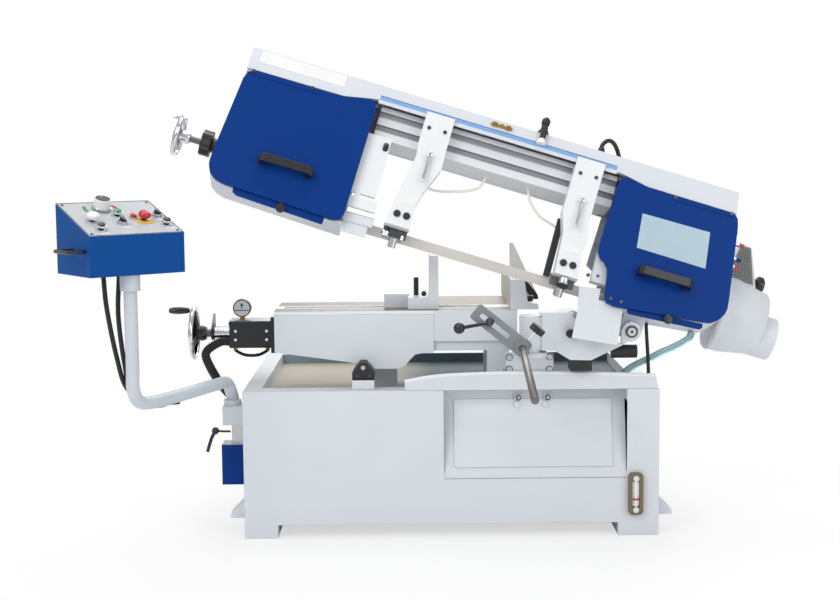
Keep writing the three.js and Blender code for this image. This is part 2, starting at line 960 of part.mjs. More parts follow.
// Moving jaw sliding along the slot, with its nut below the table
const jawSlide = place('jaw_slide', machine, movingJawX, slotY, tableTop);
function movingJaw() {
  const halfDepth = movingJawDepth / 2;
  const footLeft = -movingJawFootReach;
  const post = block(-movingJawThickness, 0, -halfDepth, halfDepth, seatGap, movingJawHeight);
  const foot = block(footLeft, 0, -halfDepth, halfDepth, seatGap, movingJawFootHeight);
  const nutRight = footLeft + runningGap;
  const nut = block(
    footLeft - jawNutWidth, nutRight, -jawNutDepth / 2, jawNutDepth / 2, seatGap, jawNutHeight,
  );
  const keyHalf = slotWidth / 2 - runningGap;
  const keyInset = jawNutWidth / 6;
  const key = block(
    footLeft - jawNutWidth + keyInset, footLeft - keyInset, -keyHalf, keyHalf,
    -jawKeyDrop, jawNutHeight / 2,
  );
  const pin = bar(
    jawPinRadius, [-jawPinReach, 0, movingJawFootHeight - sheet],
    [-jawPinReach, 0, movingJawFootHeight + jawPinHeight],
  );
  const bore = bar(
    boreRadius(screwRadius, roundSides), [footLeft - jawNutWidth, 0, -screwDrop], [0, 0, -screwDrop],
  );
  return join(cut(join(post, foot, nut, key), bore), pin);
}
piece('moving_jaw', movingJaw(), greyPaint(), jawSlide);

// Hydraulic vise cylinder at the end of the bed, with its pressure gauge
function viseCylinder() {
  const x1 = bedLeft - seatGap;
  const flange = block(
    x1 - cylinderFlange, x1, slotY - cylinderFlangeDepth / 2, slotY + cylinderFlangeDepth / 2,
    screwZ - cylinderFlangeHeight / 2, screwZ + cylinderFlangeHeight / 2,
  );
  const body = side(
    rounded(
      rectangle(
        slotY - cylinderDepth / 2, slotY + cylinderDepth / 2,
        screwZ - cylinderHeight / 2, screwZ + cylinderHeight / 2,
      ),
      cylinderHeight / 8,
    ),
    x1 - cylinderLength, x1 - cylinderFlange / 2,
  );
  const bore = bar(
    boreRadius(screwRadius, roundSides),
    [x1 - cylinderLength - overrun, slotY, screwZ], [x1 + overrun, slotY, screwZ],
  );
  const dialX = bedLeft - cylinderLength + dialGaugeInset;
  const dialZ = screwZ + cylinderHeight / 2 + dialGaugeRise;
  const halfDial = dialGaugeDepth / 2;
  const dial = turnedY([
    [0, -halfDial], [dialGaugeRadius, -halfDial], [dialGaugeRadius, halfDial], [0, halfDial],
  ], fineSides).translate(dialX, slotY, dialZ);
  const stem = bar(dialStemRadius, [dialX, slotY, dialZ - dialGaugeRise - sheet], [dialX, slotY, dialZ]);
  return join(cut(join(flange, body), bore), dial, stem);
}
piece('vise_cylinder', viseCylinder(), castBlack());

// Handwheel on the vise screw, and its spinning crank grip
const viseWheel = place('vise_wheel', machine, bedLeft - cylinderLength - cylinderToWheel, slotY, screwZ);
function handwheel(rimRadius, rimTube, boss, hubHalf, spokeRadius, dish) {
  const rim = turnedX(
    circle(rimRadius - rimTube, 0, rimTube, smallSides).map((p) => [p.x, p.y]).concat([[rimRadius, 0]]),
    fineSides,
  ).translate(-dish, 0, 0);
  const hub = bar(boss, [-hubHalf, 0, 0], [hubHalf, 0, 0]);
  const spokes = [0, 1, 2].map((i) => {
    const angle = Math.PI / 2 + (i * 2 * Math.PI) / 3;
    const reach = rimRadius - rimTube;
    const tip = [-dish, reach * Math.cos(angle), reach * Math.sin(angle)];
    return bar(spokeRadius, [0, 0, 0], tip, smallSides);
  });
  return join(rim, hub, ...spokes);
}
const crankZ = wheelRimRadius - wheelRimThickness;
function viseHandwheel() {
  const wheel = handwheel(
    wheelRimRadius, wheelRimThickness, wheelHubRadius, wheelHubLength / 2,
    wheelSpokeRadius, wheelRimThickness,
  );
  const screwEnd = cylinderLength + cylinderToWheel + bedLength + slotReach - 2 * slotEndMargin;
  const screw = bar(screwRadius, [0, 0, 0], [screwEnd, 0, 0]);
  const spindle = bar(
    crankSpindleRadius, [-wheelRimThickness, 0, crankZ], [-2 * wheelRimThickness - crankLength, 0, crankZ],
    smallSides,
  );
  return join(wheel, screw, spindle);
}
piece('vise_handwheel', viseHandwheel(), chrome(), viseWheel);

const crankJoint = place('crank_joint', viseWheel, -2 * wheelRimThickness - seatGap, 0, crankZ);
function crankGrip() {
  const bore = boreRadius(crankSpindleRadius, smallSides);
  const gripShares = [[0, 0.55], [0.12, 0.8], [0.5, 1], [0.85, 0.85], [1, 0.6]];
  const outer = gripShares.map(([u, v]) => [v * crankRadius, -u * crankLength]);
  return turnedX([[bore, 0], ...outer, [bore, -crankLength], [bore, 0]].reverse(), smallSides);
}
piece('crank_grip', crankGrip(), blackPlastic(), crankJoint);

// Swivel arm turning about the mitre axis
const mitre = place('mitre', machine, mitreX, cutLineY, 0);
const armFrontY = -armFront;
const armBackY = armDepth - armFront;
const pivotShares = [
  [0.11, 1], [0.42, 1], [0.6, 0.8], [0.8, 0.68], [0.86, 0.4], [0.91, 0.31], [0.6, 0], [0.39, 0.01],
  [0.235, 0.21], [0.11, 0.21],
];
const earShares = [[0.9, 0.62], [1, 0.81], [1, 0.42], [0.9, 0.3]];
function swivelArm() {
  const z0 = armTop - armHeight;
  const lug = (y0, y1) => bar(pivotLugRadius, [pivotReach, y0, pivotZ], [pivotReach, y1, pivotZ], fineSides);
  const points = outline(pivotShares, 0, z0, pivotReach, armHeight);
  const wallTop = outline(earShares, 0, z0, pivotReach, armHeight);
  const wall = join(
    front(points, armFrontY, armFrontY + earThickness),
    front(wallTop.reverse(), armFrontY, armFrontY + earThickness),
    lug(armFrontY, armFrontY + earThickness),
  );
  const rearWall = join(
    front(points, armBackY - earThickness, armBackY),
    front(wallTop, armBackY - earThickness, armBackY),
    lug(armBackY - earThickness, armBackY),
  );
  const core = front(points, armFrontY + earThickness / 2, armBackY - earThickness / 2);
  const barrelReach = pivotReach - barrelRadius - runningGap * 2;
  const barrelRoom = block(
    barrelReach, pivotReach + overrun, armFrontY + earThickness, armBackY - earThickness,
    z0 - overrun, armTop + overrun,
  );
  const lowered = block(
    -overrun, pivotReach, armFrontY + armWallThickness, armBackY + overrun,
    armTop - armCoreDrop, armTop + overrun,
  );
  const pocket = block(
    pocketReach, pocketReach + pocketWidth, armFrontY + pocketWall, armFrontY + pocketWall + pocketDepth,
    armTop - pocketHeight, armTop + overrun,
  );
  const housingRoom = plan(
    [
      new THREE.Vector2(-armDepth, armSideOffset - armDepth),
      new THREE.Vector2(armDepth * 2, armSideOffset + armDepth * 2),
      new THREE.Vector2(-armDepth, armSideOffset + armDepth * 2),
    ],
    z0 - overrun, armTop + overrun,
  );
  const hollow = block(
    clampFootReach, barrelReach - armFloor,
    armFrontY + armWallThickness + pocketDepth / 2, armBackY - armWallThickness,
    z0 - overrun, armTop - armFloor - pocketHeight / 2,
  );
  const hubBottom = cabinetTop + columnHeight + turntableThickness + seatGap;
  const hub = turned([
    [0, hubBottom], [hubRadius, hubBottom], [hubRadius, tableTop - hubDrop], [0, tableTop - hubDrop],
  ], fineSides);
  const boss = block(
    -stopRodLeft - stopClampSize / 2, -stopRodLeft + stopClampSize / 2,
    -armFront - stopRodBoss / 3, -hubRadius / 2,
    tableTop - stopRodDrop - stopClampSize / 2, tableTop - stopRodDrop + stopClampSize / 2,
  );
  const hubWeb = block(
    0, pocketReach - pocketWall / 3, armFrontY + armWallThickness / 2, hubRadius / 2,
    armTop - hubWebShare * armHeight, tableTop - hubDrop - sheet,
  );
  const loweredBow = block(
    rightHousingX - overrun, 0, -bowFront - coverDepth, bowBack + runningGap,
    housingBottom - 2 * runningGap, bladeDrop,
  ).applyMatrix4(tilt).translate(pivotReach, 0, pivotZ);
  const shaftBore = bar(
    boreRadius(pivotShaftRadius, roundSides),
    [pivotReach, armFrontY - overrun, pivotZ], [pivotReach, armBackY + overrun, pivotZ],
  );
  const body = cut(
    join(core, wall, rearWall), barrelRoom, lowered, pocket, housingRoom, hollow, loweredBow, shaftBore,
  );
  const foot = block(
    clampFootReach, clampFootReach + clampFootWidth, -armFront + sheet, clampFootDepth - armFront,
    z0 - clampFootHeight, z0 + sheet,
  );
  return join(cut(body, hub), hub, hubWeb, boss, foot);
}
piece('swivel_arm', swivelArm(), greyPaint(), mitre);

function pivotShaft() {
  const frontEnd = armFrontY - pivotRingThickness - seatGap;
  const shaft = bar(
    pivotShaftRadius, [pivotReach, frontEnd, pivotZ], [pivotReach, armBackY + pivotRingThickness, pivotZ],
  );
  const ring = bar(
    pivotRingRadius, [pivotReach, frontEnd, pivotZ], [pivotReach, frontEnd + pivotRingThickness, pivotZ],
  );
  return join(shaft, ring);
}
piece('pivot_shaft', pivotShaft(), castBlack(), mitre);

// Clamp knob on the arm's front wall
const armKnobJoint = place('arm_knob_joint', mitre, armKnobReach, armFrontY - seatGap, pivotZ - sheet / 2);
piece(
  'arm_knob',
  turnedY([[0, 0], [armKnobRadius, 0], [armKnobRadius, armKnobDepth], [0, armKnobDepth]], roundSides),
  blackPlastic(),
  armKnobJoint,
);

// Lift cylinder body below the bow pivot, seated on the belly of the arm
function liftCylinder() {
  const y = armFront + liftRadius / 3;
  const z = tableTop - liftDrop;
  const belly = outline(pivotShares, 0, armTop - armHeight, pivotReach, armHeight);
  const barrel = bar(liftRadius, [liftReach, y, z], [liftReach + liftLength, y, z]);
  return cut(barrel, front(inset(belly, -seatGap), y - 2 * liftRadius, y + 2 * liftRadius));
}
piece('lift_cylinder', liftCylinder(), castBlack(), mitre);

// Length stop: a rod leaving the hub towards the operator, carrying the stop plate
const stopRootY = -armFront - stopRodBoss / 3 - seatGap;
const stopRoot = place('stop_root', mitre, -stopRodLeft, stopRootY, tableTop - stopRodDrop);
const stopDirection = new THREE.Vector3(
  -Math.sin(radians(stopRodTurn)), -1, -Math.sin(radians(stopRodDip)),
).normalize();
const outwards = new THREE.Vector3(0, -1, 0);
stopRoot.quaternion.setFromUnitVectors(outwards, stopDirection);
const stopRodStart = stopRodRadius * Math.sin(stopDirection.angleTo(outwards));
piece(
  'stop_rod',
  turnedY([
    [0, stopRodStart], [stopRodRadius, stopRodStart], [stopRodRadius, stopRodLength - stopRodRadius / 2],
    [stopRodRadius / 2, stopRodLength], [0, stopRodLength],
  ], roundSides),
  groundSteel(),
  stopRoot,
);

// The stop plate is a slotted bar leaning over the rod, clamped by a star knob
const stopSlide = place('stop_slide', stopRoot, 0, -stopPlateAlong, 0);
const stopLean = radians(stopPlateLean);
function stopPlate() {
  const half = stopPlateWidth / 2;
  const start = -stopClampSize / 2;
  const end = start + stopPlateLength;
  const barOutline = rounded(rectangle(start, end, -half, half), half / 3);
  const slotShape = rounded(
    rectangle(
      stopSlotStart, stopSlotStart + stopSlotLength, -stopSlotWidth / 2, stopSlotWidth / 2,
    ),
    stopSlotWidth / 2,
  );
  const plate = front(barOutline, -stopPlateThickness / 2, stopPlateThickness / 2, [slotShape]);
  plate.rotateY(-stopLean);
  const clamp = block(
    -stopClampSize / 2, stopClampSize / 2, -stopClampSize / 2, stopClampSize / 2,
    -stopClampSize / 2, stopClampSize / 2,
  );
  const bore = bar(
    boreRadius(stopRodRadius, roundSides), [0, -stopClampSize, 0], [0, stopClampSize, 0], roundSides,
  );
  return cut(join(plate, clamp), bore);
}
piece('stop_plate', stopPlate(), castBlack(), stopSlide);

const starJoint = place('star_joint', stopSlide, 0, 0, 0);
starJoint.rotation.y = stopLean - radians(starKnobLean);
function starKnob() {
  const base = stopClampSize * Math.SQRT1_2 + seatGap;
  const lobes = Array.from({ length: roundSides }, (_, i) => {
    const angle = (i / roundSides) * 2 * Math.PI;
    const radius = starKnobRadius * (1 - starLobeShare * (1 + Math.cos(starLobes * angle)));
    return new THREE.Vector2(radius * Math.cos(angle), radius * Math.sin(angle));
  });
  const head = plan(lobes, base + starStemLength, base + starStemLength + starKnobHeight);
  return join(head, bar(starStemRadius, [0, 0, base], [0, 0, base + starStemLength + sheet]));
}
piece('star_knob', starKnob(), blackPlastic(), starJoint);

const ballX = ballPivotAlong * Math.cos(stopLean);
const ballZ = ballPivotAlong * Math.sin(stopLean);
const ballJoint = place('ball_joint', stopSlide, ballX, -stopPlateThickness / 2 - seatGap, ballZ);
function ballLever() {
  const rise = ballPivotRadius;
  const tip = [-ballReach, -2 * rise, -rise];
  const hub = turnedY([
    [0, 0], [ballPivotRadius, 0], [ballPivotRadius, rise], [ballLeverRadius, 2 * rise], [0, 2 * rise],
  ], smallSides);
  const ball = new THREE.SphereGeometry(ballRadius, roundSides, smallSides).translate(...tip);
  return join(hub, bar(ballLeverRadius, [0, -rise, 0], tip, smallSides), ball);
}
piece('ball_lever', ballLever(), blackPlastic(), ballJoint);

// Bow, raised about the pivot, with its blade plane tilted back from the vertical
const bowLift = place('bow_lift', mitre, pivotReach, 0, pivotZ);
bowLift.rotation.y = radians(bowRaiseAngle);
const bow = place('bow_plane', bowLift, 0, 0, bladeDrop);
bow.rotation.x = -radians(bowTiltAngle);

const leftHousingShares = [
  [0, 0.197], [0.03, 0.12], [0.075, 0.08], [0.143, 0.06], [1, 0.03], [1, 1.06], [0.76, 1], [0.053, 1],
];
const rightHousingShares = [
  [0, 0.373], [0.106, 0.303], [0.136, 0], [0.9, 0.095], [0.955, 0.14], [1, 0.225], [0.976, 0.468],
  [0.939, 0.902], [0.915, 1], [0.237, 1.005], [0.032, 1.05],
];
const leftOutline = outline(leftHousingShares, leftHousingX, housingBottom, leftHousingWidth, housingHeight);
const rightOutline = outline(
  rightHousingShares, rightHousingX, housingBottom, rightHousingWidth, housingHeight,
);

// Extends an outline's upper corners to one height
function raised(points, from, height) {
  return points.map((p) => (p.y > from ? new THREE.Vector2(p.x, height) : p.clone()));
}

const coverTopLevel = housingBottom + coverTopShare * housingHeight;
const spineFrontShares = [
  [0, 0], [0.196, 0.02], [0.263, 0.33], [0.762, 0.28], [0.819, 0.02], [1.004, 0], [1, 1], [0, 1],
];
const spineBottom = housingBottom + housingHeight + 2 * runningGap;

// Outline of the splash plate beside and below the right cover
const splashShares = [
  [0, 0.93], [0.42, 1], [0.43, 0.79], [0.93, 0.81], [1, 0.1], [0.11, 0], [0.09, 0.5],
];

function bowFrame() {
  const top = bowTop;
  const leftBody = front(raised(leftOutline, coverTopLevel, spineBottom + sheet), -bowFront, bowBack);
  const rightBody = front(raised(rightOutline, coverTopLevel, spineBottom + sheet), -bowFront, bowBack);
  const spineOutline = outline(spineFrontShares, spineLeft, spineBottom, spineLength, top - spineBottom);
  const spine = front(spineOutline, -spineFront, bowBack);
  const web = block(
    leftHousingX + leftHousingWidth / 2, rightHousingX + rightHousingWidth / 2,
    bowBack - webThickness, bowBack, beamBottom, top - bowWall / 2,
  );
  const inLeft = inset(raised(leftOutline, coverTopLevel, top), bowWall);
  const inRight = inset(raised(rightOutline, coverTopLevel, top), bowWall);
  const back = bowBack - bowWall;
  const leftRoom = front(inLeft, -bowFront + bowWall, back);
  const rightRoom = front(inRight, -bowFront + bowWall, back);
  const coverRoomLeft = front(
    inset(raised(leftOutline, coverTopLevel, coverTopLevel - housingLip / 2), housingLip),
    -spineFront - overrun, 0,
  );
  const coverRoomRight = front(
    inset(raised(rightOutline, coverTopLevel, coverTopLevel - housingLip / 2), housingLip),
    -spineFront - overrun, 0,
  );
  const spineRoom = block(
    spineLeft + 2 * bowWall, spineLeft + spineLength - 2 * bowWall, -bowFront + bowWall,
    bowBack - webThickness, spineLower - 4 * bowWall, top - bowWall,
  );
  const spineMouth = block(
    leftHousingX + leftHousingWidth + overrun, rightHousingX - overrun,
    -bowFront + bowWall, bowBack - webThickness, beamBottom, spineLower + overrun,
  );
  const leftDoor = block(
    leftHousingX + leftHousingWidth - 3 * bowWall, leftHousingX + leftHousingWidth + overrun,
    -spineFront - overrun, back, housingBottom + 3 * bowWall, spineLower - 3 * bowWall,
  );
  const bandExit = block(
    leftHousingX + leftHousingWidth * bandExitShare, leftHousingX + leftHousingWidth + overrun,
    -bandWidth / 2, bandWidth, housingBottom + 2 * bowWall, bandWidth,
  );
  const rightDoor = block(
    rightHousingX - overrun, rightHousingX + rightHousingWidth * rightDoorShare,
    -spineFront - overrun, back, housingBottom + 2 * bowWall, spineLower - 3 * bowWall,
  );
  const lip = block(
    leftHousingX + leftHousingWidth + 2 * seatGap, rightHousingX - seatGap, -spineFront, -spineFront + sheet,
    spineLower - lipHeight - seatGap, spineLower,
  );
  const splash = front(
    outline(splashShares, splashLeft, splashTop - splashHeight, splashWidth, splashHeight),
    -bowFront, -bowFront + splashThickness,
  ).applyMatrix4(tilt);
  const frameBody = join(leftBody, rightBody, spine, web, lip);
  frameBody.applyMatrix4(tilt);
  const barrelFrom = -armFront + earThickness + runningGap;
  const barrelTo = armDepth - armFront - earThickness - runningGap;
  const barrel = bar(barrelRadius, [0, barrelFrom, 0], [0, barrelTo, 0], fineSides);
  const link = block(
    -linkHalfWidth, linkHalfWidth, barrelFrom, barrelFrom + linkDepth + linkDepth / 2, 0, linkHeight,
  );
  const rooms = [
    leftRoom, rightRoom, coverRoomLeft, coverRoomRight, spineRoom, spineMouth, leftDoor, bandExit, rightDoor,
  ];
  rooms.forEach((room) => room.applyMatrix4(tilt));
  const screwHole = bar(
    boreRadius(tensionScrewRadius, roundSides), [leftHousingX - overrun, tensionY, tensionZ],
    [leftHousingX + 10 * bowWall, tensionY, tensionZ],
  ).applyMatrix4(tilt);
  const shaftHole = bar(
    bandHubRadius / 2 + runningGap, [rightWheelX, 0, bandWheelRadius],
    [rightWheelX, bowBack + overrun, bandWheelRadius],
  ).applyMatrix4(tilt);
  const pivotHole = bar(
    boreRadius(pivotShaftRadius, roundSides), [0, barrelFrom - overrun, 0], [0, barrelTo + overrun, 0],
  );
  const hollow = cut(join(frameBody, link, barrel), ...rooms, screwHole, shaftHole, pivotHole);
  return join(hollow, splash);
}
piece('bow_frame', bowFrame(), greyPaint(), bowLift);

// Ground steel beam with two grooves that carries the blade guides
function guideBeam() {
  const z = beamBottom;
  const grooveShares = [0.24, 0.66];
  const back = bowBack - webThickness - seatGap;
  const body = block(beamLeft, beamLeft + beamLength, -beamFront, back, z, z + beamHeight);
  const grooves = grooveShares.map((share) => {
    const low = z + share * beamHeight;
    return block(
      beamLeft - overrun, beamLeft + beamLength + overrun, -beamFront - overrun,
      -beamFront + beamGrooveDepth, low, low + beamGrooveHeight,
    );
  });
  const relief = block(
    beamLeft - overrun, beamLeft + beamLength + overrun, -beamFront + 2 * beamGrooveHeight,
    bowBack - webThickness - beamGrooveHeight, z + beamFlatHeight, z + beamHeight - beamFlatHeight,
  );
  return cut(body, ...grooves, relief);
}
piece('guide_beam', guideBeam(), groundSteel(), bow);

// Saw band: a closed loop over both wheels, twisted upright between the guides
function sawBand() {
  const radius = bandWheelRadius + bandThickness / 2;
  const twist = Math.PI / 2 - radians(bowTiltAngle);
  const smooth = (t) => t * t * (3 - 2 * t);
  const stations = [];
  const arc = (centre, from) => {
    for (let i = 0; i <= bandTurnSteps; i += 1) {
      const angle = from + (i / bandTurnSteps) * Math.PI;
      stations.push({
        x: centre + radius * Math.cos(angle),
        z: bandWheelRadius + radius * Math.sin(angle),
        tangent: new THREE.Vector3(-Math.sin(angle), 0, Math.cos(angle)),
        turn: 0,
      });
    }
  };
  arc(leftWheelX, Math.PI / 2);
  const uprightFrom = leftGuideX + leftHeadOffset - guideHeadWidth;
  const uprightTo = rightGuideX + rightHeadOffset + guideHeadWidth;
  for (let i = 1; i < bandRunSteps; i += 1) {
    const x = leftWheelX + (i / bandRunSteps) * (rightWheelX - leftWheelX);
    const rising = Math.min(1, (x - leftWheelX) / (uprightFrom - leftWheelX));
    const falling = Math.min(1, (rightWheelX - x) / (rightWheelX - uprightTo));
    stations.push({
      x,
      z: bandWheelRadius - radius,
      tangent: new THREE.Vector3(1, 0, 0),
      turn: twist * smooth(Math.min(rising, falling)),
    });
  }
  arc(rightWheelX, -Math.PI / 2);
  for (let i = 1; i < bandTopSteps; i += 1) {
    stations.push({
      x: rightWheelX + (i / bandTopSteps) * (leftWheelX - rightWheelX),
      z: bandWheelRadius + radius,
      tangent: new THREE.Vector3(-1, 0, 0),
      turn: 0,
    });
  }
  const positions = [];
  for (const { x, z, tangent, turn } of stations) {
    const width = new THREE.Vector3(0, 1, 0).applyAxisAngle(tangent, -turn);
    const normal = tangent.clone().cross(width);
    for (const [a, b] of [[1, 1], [1, -1], [-1, -1], [-1, 1]]) {
      const corner = new THREE.Vector3(x, 0, z)
        .addScaledVector(width, (a * bandWidth) / 2)
        .addScaledVector(normal, (b * bandThickness) / 2);
      positions.push(corner.x, corner.y, corner.z);
    }
  }
  const index = [];
  stations.forEach((_, i) => {
    const next = (i + 1) % stations.length;
    for (let k = 0; k < 4; k += 1) {
      const l = (k + 1) % 4;
      const [a, b, c, d] = [4 * i + k, 4 * i + l, 4 * next + l, 4 * next + k];
      index.push(a, b, c, a, c, d);
    }
  });
  const geometry = new THREE.BufferGeometry();
  geometry.setAttribute('position', new THREE.Float32BufferAttribute(positions, 3));
  geometry.setIndex(index);
  return geometry;
}
piece('blade', sawBand(), groundSteel(), bow);

// Band wheels, one driven through the back of the housing and one on the tension slide
const wheelRunRadius = bandWheelRadius * Math.cos(Math.PI / (2 * bandTurnSteps)) - seatGap;
const halfBandWheel = bandWheelWidth / 2;
const wheelWeb = bandWheelWidth / 6;
const wheelInner = wheelRunRadius - bandRimThickness;
const bandWheelProfile = [
  [bandHubRadius, -halfBandWheel], [bandHubRadius, -wheelWeb], [wheelInner, -wheelWeb],
  [wheelInner, -halfBandWheel], [wheelRunRadius, -halfBandWheel], [wheelRunRadius, halfBandWheel],
  [wheelRunRadius + bandFlange, halfBandWheel], [wheelRunRadius + bandFlange, halfBandWheel + bandFlange],
  [wheelInner, halfBandWheel + bandFlange], [wheelInner, wheelWeb], [bandHubRadius, wheelWeb],
  [bandHubRadius, halfBandWheel],
];
const driveJoint = place('drive_wheel_joint', bow, rightWheelX, 0, bandWheelRadius);
function driveWheel() {
  const wheel = turnedY([[0, -halfBandWheel], ...bandWheelProfile, [0, halfBandWheel]], fineSides);
  const shaftRadius = bandHubRadius / 2;
  return join(wheel, bar(shaftRadius, [0, 0, 0], [0, bowBack + gearboxDepth / 3, 0]));
}
piece('drive_wheel', driveWheel(), castBlack(), driveJoint);

const tensionSlideJoint = place('tension_slide_joint', bow, leftWheelX, 0, bandWheelRadius);
function tensionSlide() {
  const back = bowBack - bowWall - seatGap;
  const body = block(
    -tensionSlideWidth / 2, tensionSlideWidth / 2, back - tensionSlideDepth, back,
    -tensionSlideHeight / 2, tensionSlideHeight / 2,
  );
  const spindle = bar(
    spindleRadius, [0, back - tensionSlideDepth / 2, 0], [0, -halfBandWheel - bandFlange, 0],
  );
  const bore = bar(
    boreRadius(tensionScrewRadius, roundSides),
    [-tensionSlideWidth, tensionY, tensionZ - bandWheelRadius],
    [0, tensionY, tensionZ - bandWheelRadius],
  );
  return cut(join(body, spindle), bore);
}
piece('tension_slide', tensionSlide(), castBlack(), tensionSlideJoint);

const idlerJoint = place('idler_wheel_joint', tensionSlideJoint, 0, 0, 0);
const idlerBore = boreRadius(spindleRadius, fineSides);
piece(
  'idler_wheel',
  turnedY([
    [idlerBore, -halfBandWheel], ...bandWheelProfile, [idlerBore, halfBandWheel],
    [idlerBore, -halfBandWheel],
  ], fineSides),
  castBlack(),
  idlerJoint,
);

// Handwheel and lock nut of the blade tension
const tensionJoint = place('tension_wheel_joint', bow, tensionWheelX, tensionY, tensionZ);
function tensionHandwheel() {
  const wheel = handwheel(
    tensionWheelRadius, tensionWheelRim, tensionHubRadius, tensionHubRadius, tensionWheelRim / 2,
    tensionHubRadius,
  );
  const nut = bar(tensionHubRadius, [0, 0, 0], [tensionHubLength, 0, 0]);
  const screwEnd = leftWheelX - tensionSlideWidth / 4 - tensionWheelX;
  const spinner = bar(
    tensionWheelRim * spinnerShare, [-tensionHubRadius, 0, tensionWheelRadius - tensionWheelRim],
    [-tensionHubRadius - 3 * tensionWheelRim, 0, tensionWheelRadius - tensionWheelRim], smallSides,
  );
  return join(wheel, nut, bar(tensionScrewRadius, [0, 0, 0], [screwEnd, 0, 0]), spinner);
}
piece('tension_handwheel', tensionHandwheel(), chrome(), tensionJoint);

const lockBossRadius = lockWheelRadius * lockBossShare;
function leftWallX(z) {
  const low = leftOutline[0];
  const high = leftOutline[leftOutline.length - 1];
  return low.x + ((z - low.y) / (high.y - low.y)) * (high.x - low.x);
}
const lockJoint = place(
  'lock_wheel_joint', bow, leftWallX(tensionZ - lockBossRadius) - seatGap, tensionY, tensionZ,
);
function lockWheel() {
  const bore = boreRadius(tensionScrewRadius, fineSides);
  const face = -lockBossLength;
  const end = face - lockWheelThickness;
  return turnedX([
    [bore, 0], [lockBossRadius, 0], [lockBossRadius, face], [lockWheelRadius, face],
    [lockWheelRadius, end], [bore, end], [bore, 0],
  ], fineSides);
}
piece('lock_wheel', lockWheel(), blackPlastic(), lockJoint);

// Wheel covers, hinged along their top edges, with bridge handles
const coverHingeY = -bowFront - coverDepth - seatGap - coverHingeOut;
const coverHingeZ = spineLower;
function cover(points, hingeX, handleX) {
  const back = -bowFront - seatGap;
  const facePlane = back - coverDepth;
  const shell = front(rounded(points, coverDepth * 2, 2), facePlane, back);
  const room = front(
    inset(rounded(points, coverDepth * 2, 2), coverSheet), facePlane + coverSheet, back + overrun,
  );
  const handle = coverHandle().translate(handleX, facePlane + coverSheet / 2, handleZ);
  return join(cut(shell, room), handle).translate(-hingeX, -coverHingeY, -coverHingeZ);
}

function coverHandle() {
  const half = handleLength / 2;
  const points = [
    new THREE.Vector2(-half, 0),
    new THREE.Vector2(-half, -handleDepth * handleShoulderShare),
    new THREE.Vector2(-half + handleFoot / 2, -handleDepth),
    new THREE.Vector2(half - handleFoot / 2, -handleDepth),
    new THREE.Vector2(half, -handleDepth * handleShoulderShare),
    new THREE.Vector2(half, 0),
    new THREE.Vector2(half - handleFoot, 0),
    new THREE.Vector2(half - handleFoot, handleBar - handleDepth),
    new THREE.Vector2(-half + handleFoot, handleBar - handleDepth),
    new THREE.Vector2(-half + handleFoot, 0),
  ];
  return plan(points, -handleHeight / 2, handleHeight / 2);
}

const leftHingeX = leftHousingX + leftHousingWidth / 2;
const rightHingeX = rightHousingX + rightHousingWidth / 2;
const covers = [
  { side: 'left', points: leftOutline, hingeX: leftHingeX, handleX: leftHandleX },
  { side: 'right', points: rightOutline, hingeX: rightHingeX, handleX: rightHandleX },
];
for (const { side: name, points, hingeX, handleX } of covers) {
  const joint = place(`cover_${name}_joint`, bow, hingeX, coverHingeY, coverHingeZ);
  piece(`cover_${name}`, cover(points, hingeX, handleX), bluePaint(), joint);
}

// Guide arms on the beam, each with a lock lever, a head round the band and a front roller
const leftArmShares = [
  [-0.46, 1], [-0.46, 0.73], [-0.4, 0.61], [-0.64, 0.26], [-0.78, 0], [0.04, 0], [0.02, 0.2],
  [0.12, 0.32], [0.48, 0.56], [0.46, 0.68], [0.46, 1],
];
const rightArmShares = [
  [-0.47, 1], [-0.47, 0.76], [-0.5, 0.52], [-0.31, 0.34], [-0.26, 0], [0.52, 0], [0.43, 0.23],
  [0.52, 0.35], [0.4, 0.48], [0.42, 0.74], [0.46, 1],
];
const guides = [
  { side: 'left', x: leftGuideX, shares: leftArmShares, head: leftHeadOffset },
  { side: 'right', x: rightGuideX, shares: rightArmShares, head: rightHeadOffset },
];

function guideArm(shares, head) {
  const points = outline(shares, 0, guideArmBottom, guideArmWidth, guideArmHeight);
  const arm = front(points, -guideArmFront, -guideArmBack);
  const underSpine = block(
    -guideArmWidth, guideArmWidth, -spineFront - runningGap, 0,
    guideClampTop - beamFront / 5, guideArmBottom + guideArmHeight + overrun,
  );
  const headPart = guideHead().rotateX(radians(bowTiltAngle)).translate(head, 0, 0);
  return join(cut(arm, underSpine), headPart);
}

const rollerY = bandThickness / 2 + seatGap + rollerRadius;
function guideHead() {
  const top = guideHeadHeight - guideHeadDrop;
  const body = block(
    -guideHeadWidth / 2, guideHeadWidth / 2, -guideHeadHalfDepth, guideHeadHalfDepth, -guideHeadDrop, top,
  );
  const backRoller = bar(
    rollerRadius, [0, rollerY, -rollerLength - guideHeadDrop], [0, rollerY, guideHeadDrop],
  );
  const spindle = bar(
    rollerSpindleRadius, [0, -rollerY, -rollerLength - 2 * guideHeadDrop], [0, -rollerY, guideHeadDrop],
    smallSides,
  );
  const slot = block(
    -guideHeadWidth, guideHeadWidth, -guideSlotWidth / 2, guideSlotWidth / 2,
    -guideHeadDrop - overrun, bandWidth / 2 + runningGap,
  );
  return join(cut(body, slot), backRoller, spindle);
}

function guideRoller() {
  const top = -guideHeadDrop - seatGap;
  const bore = boreRadius(rollerSpindleRadius, roundSides);
  return turned([
    [bore, top - rollerLength], [rollerRadius, top - rollerLength], [rollerRadius, top], [bore, top],
    [bore, top - rollerLength],
  ], roundSides);
}

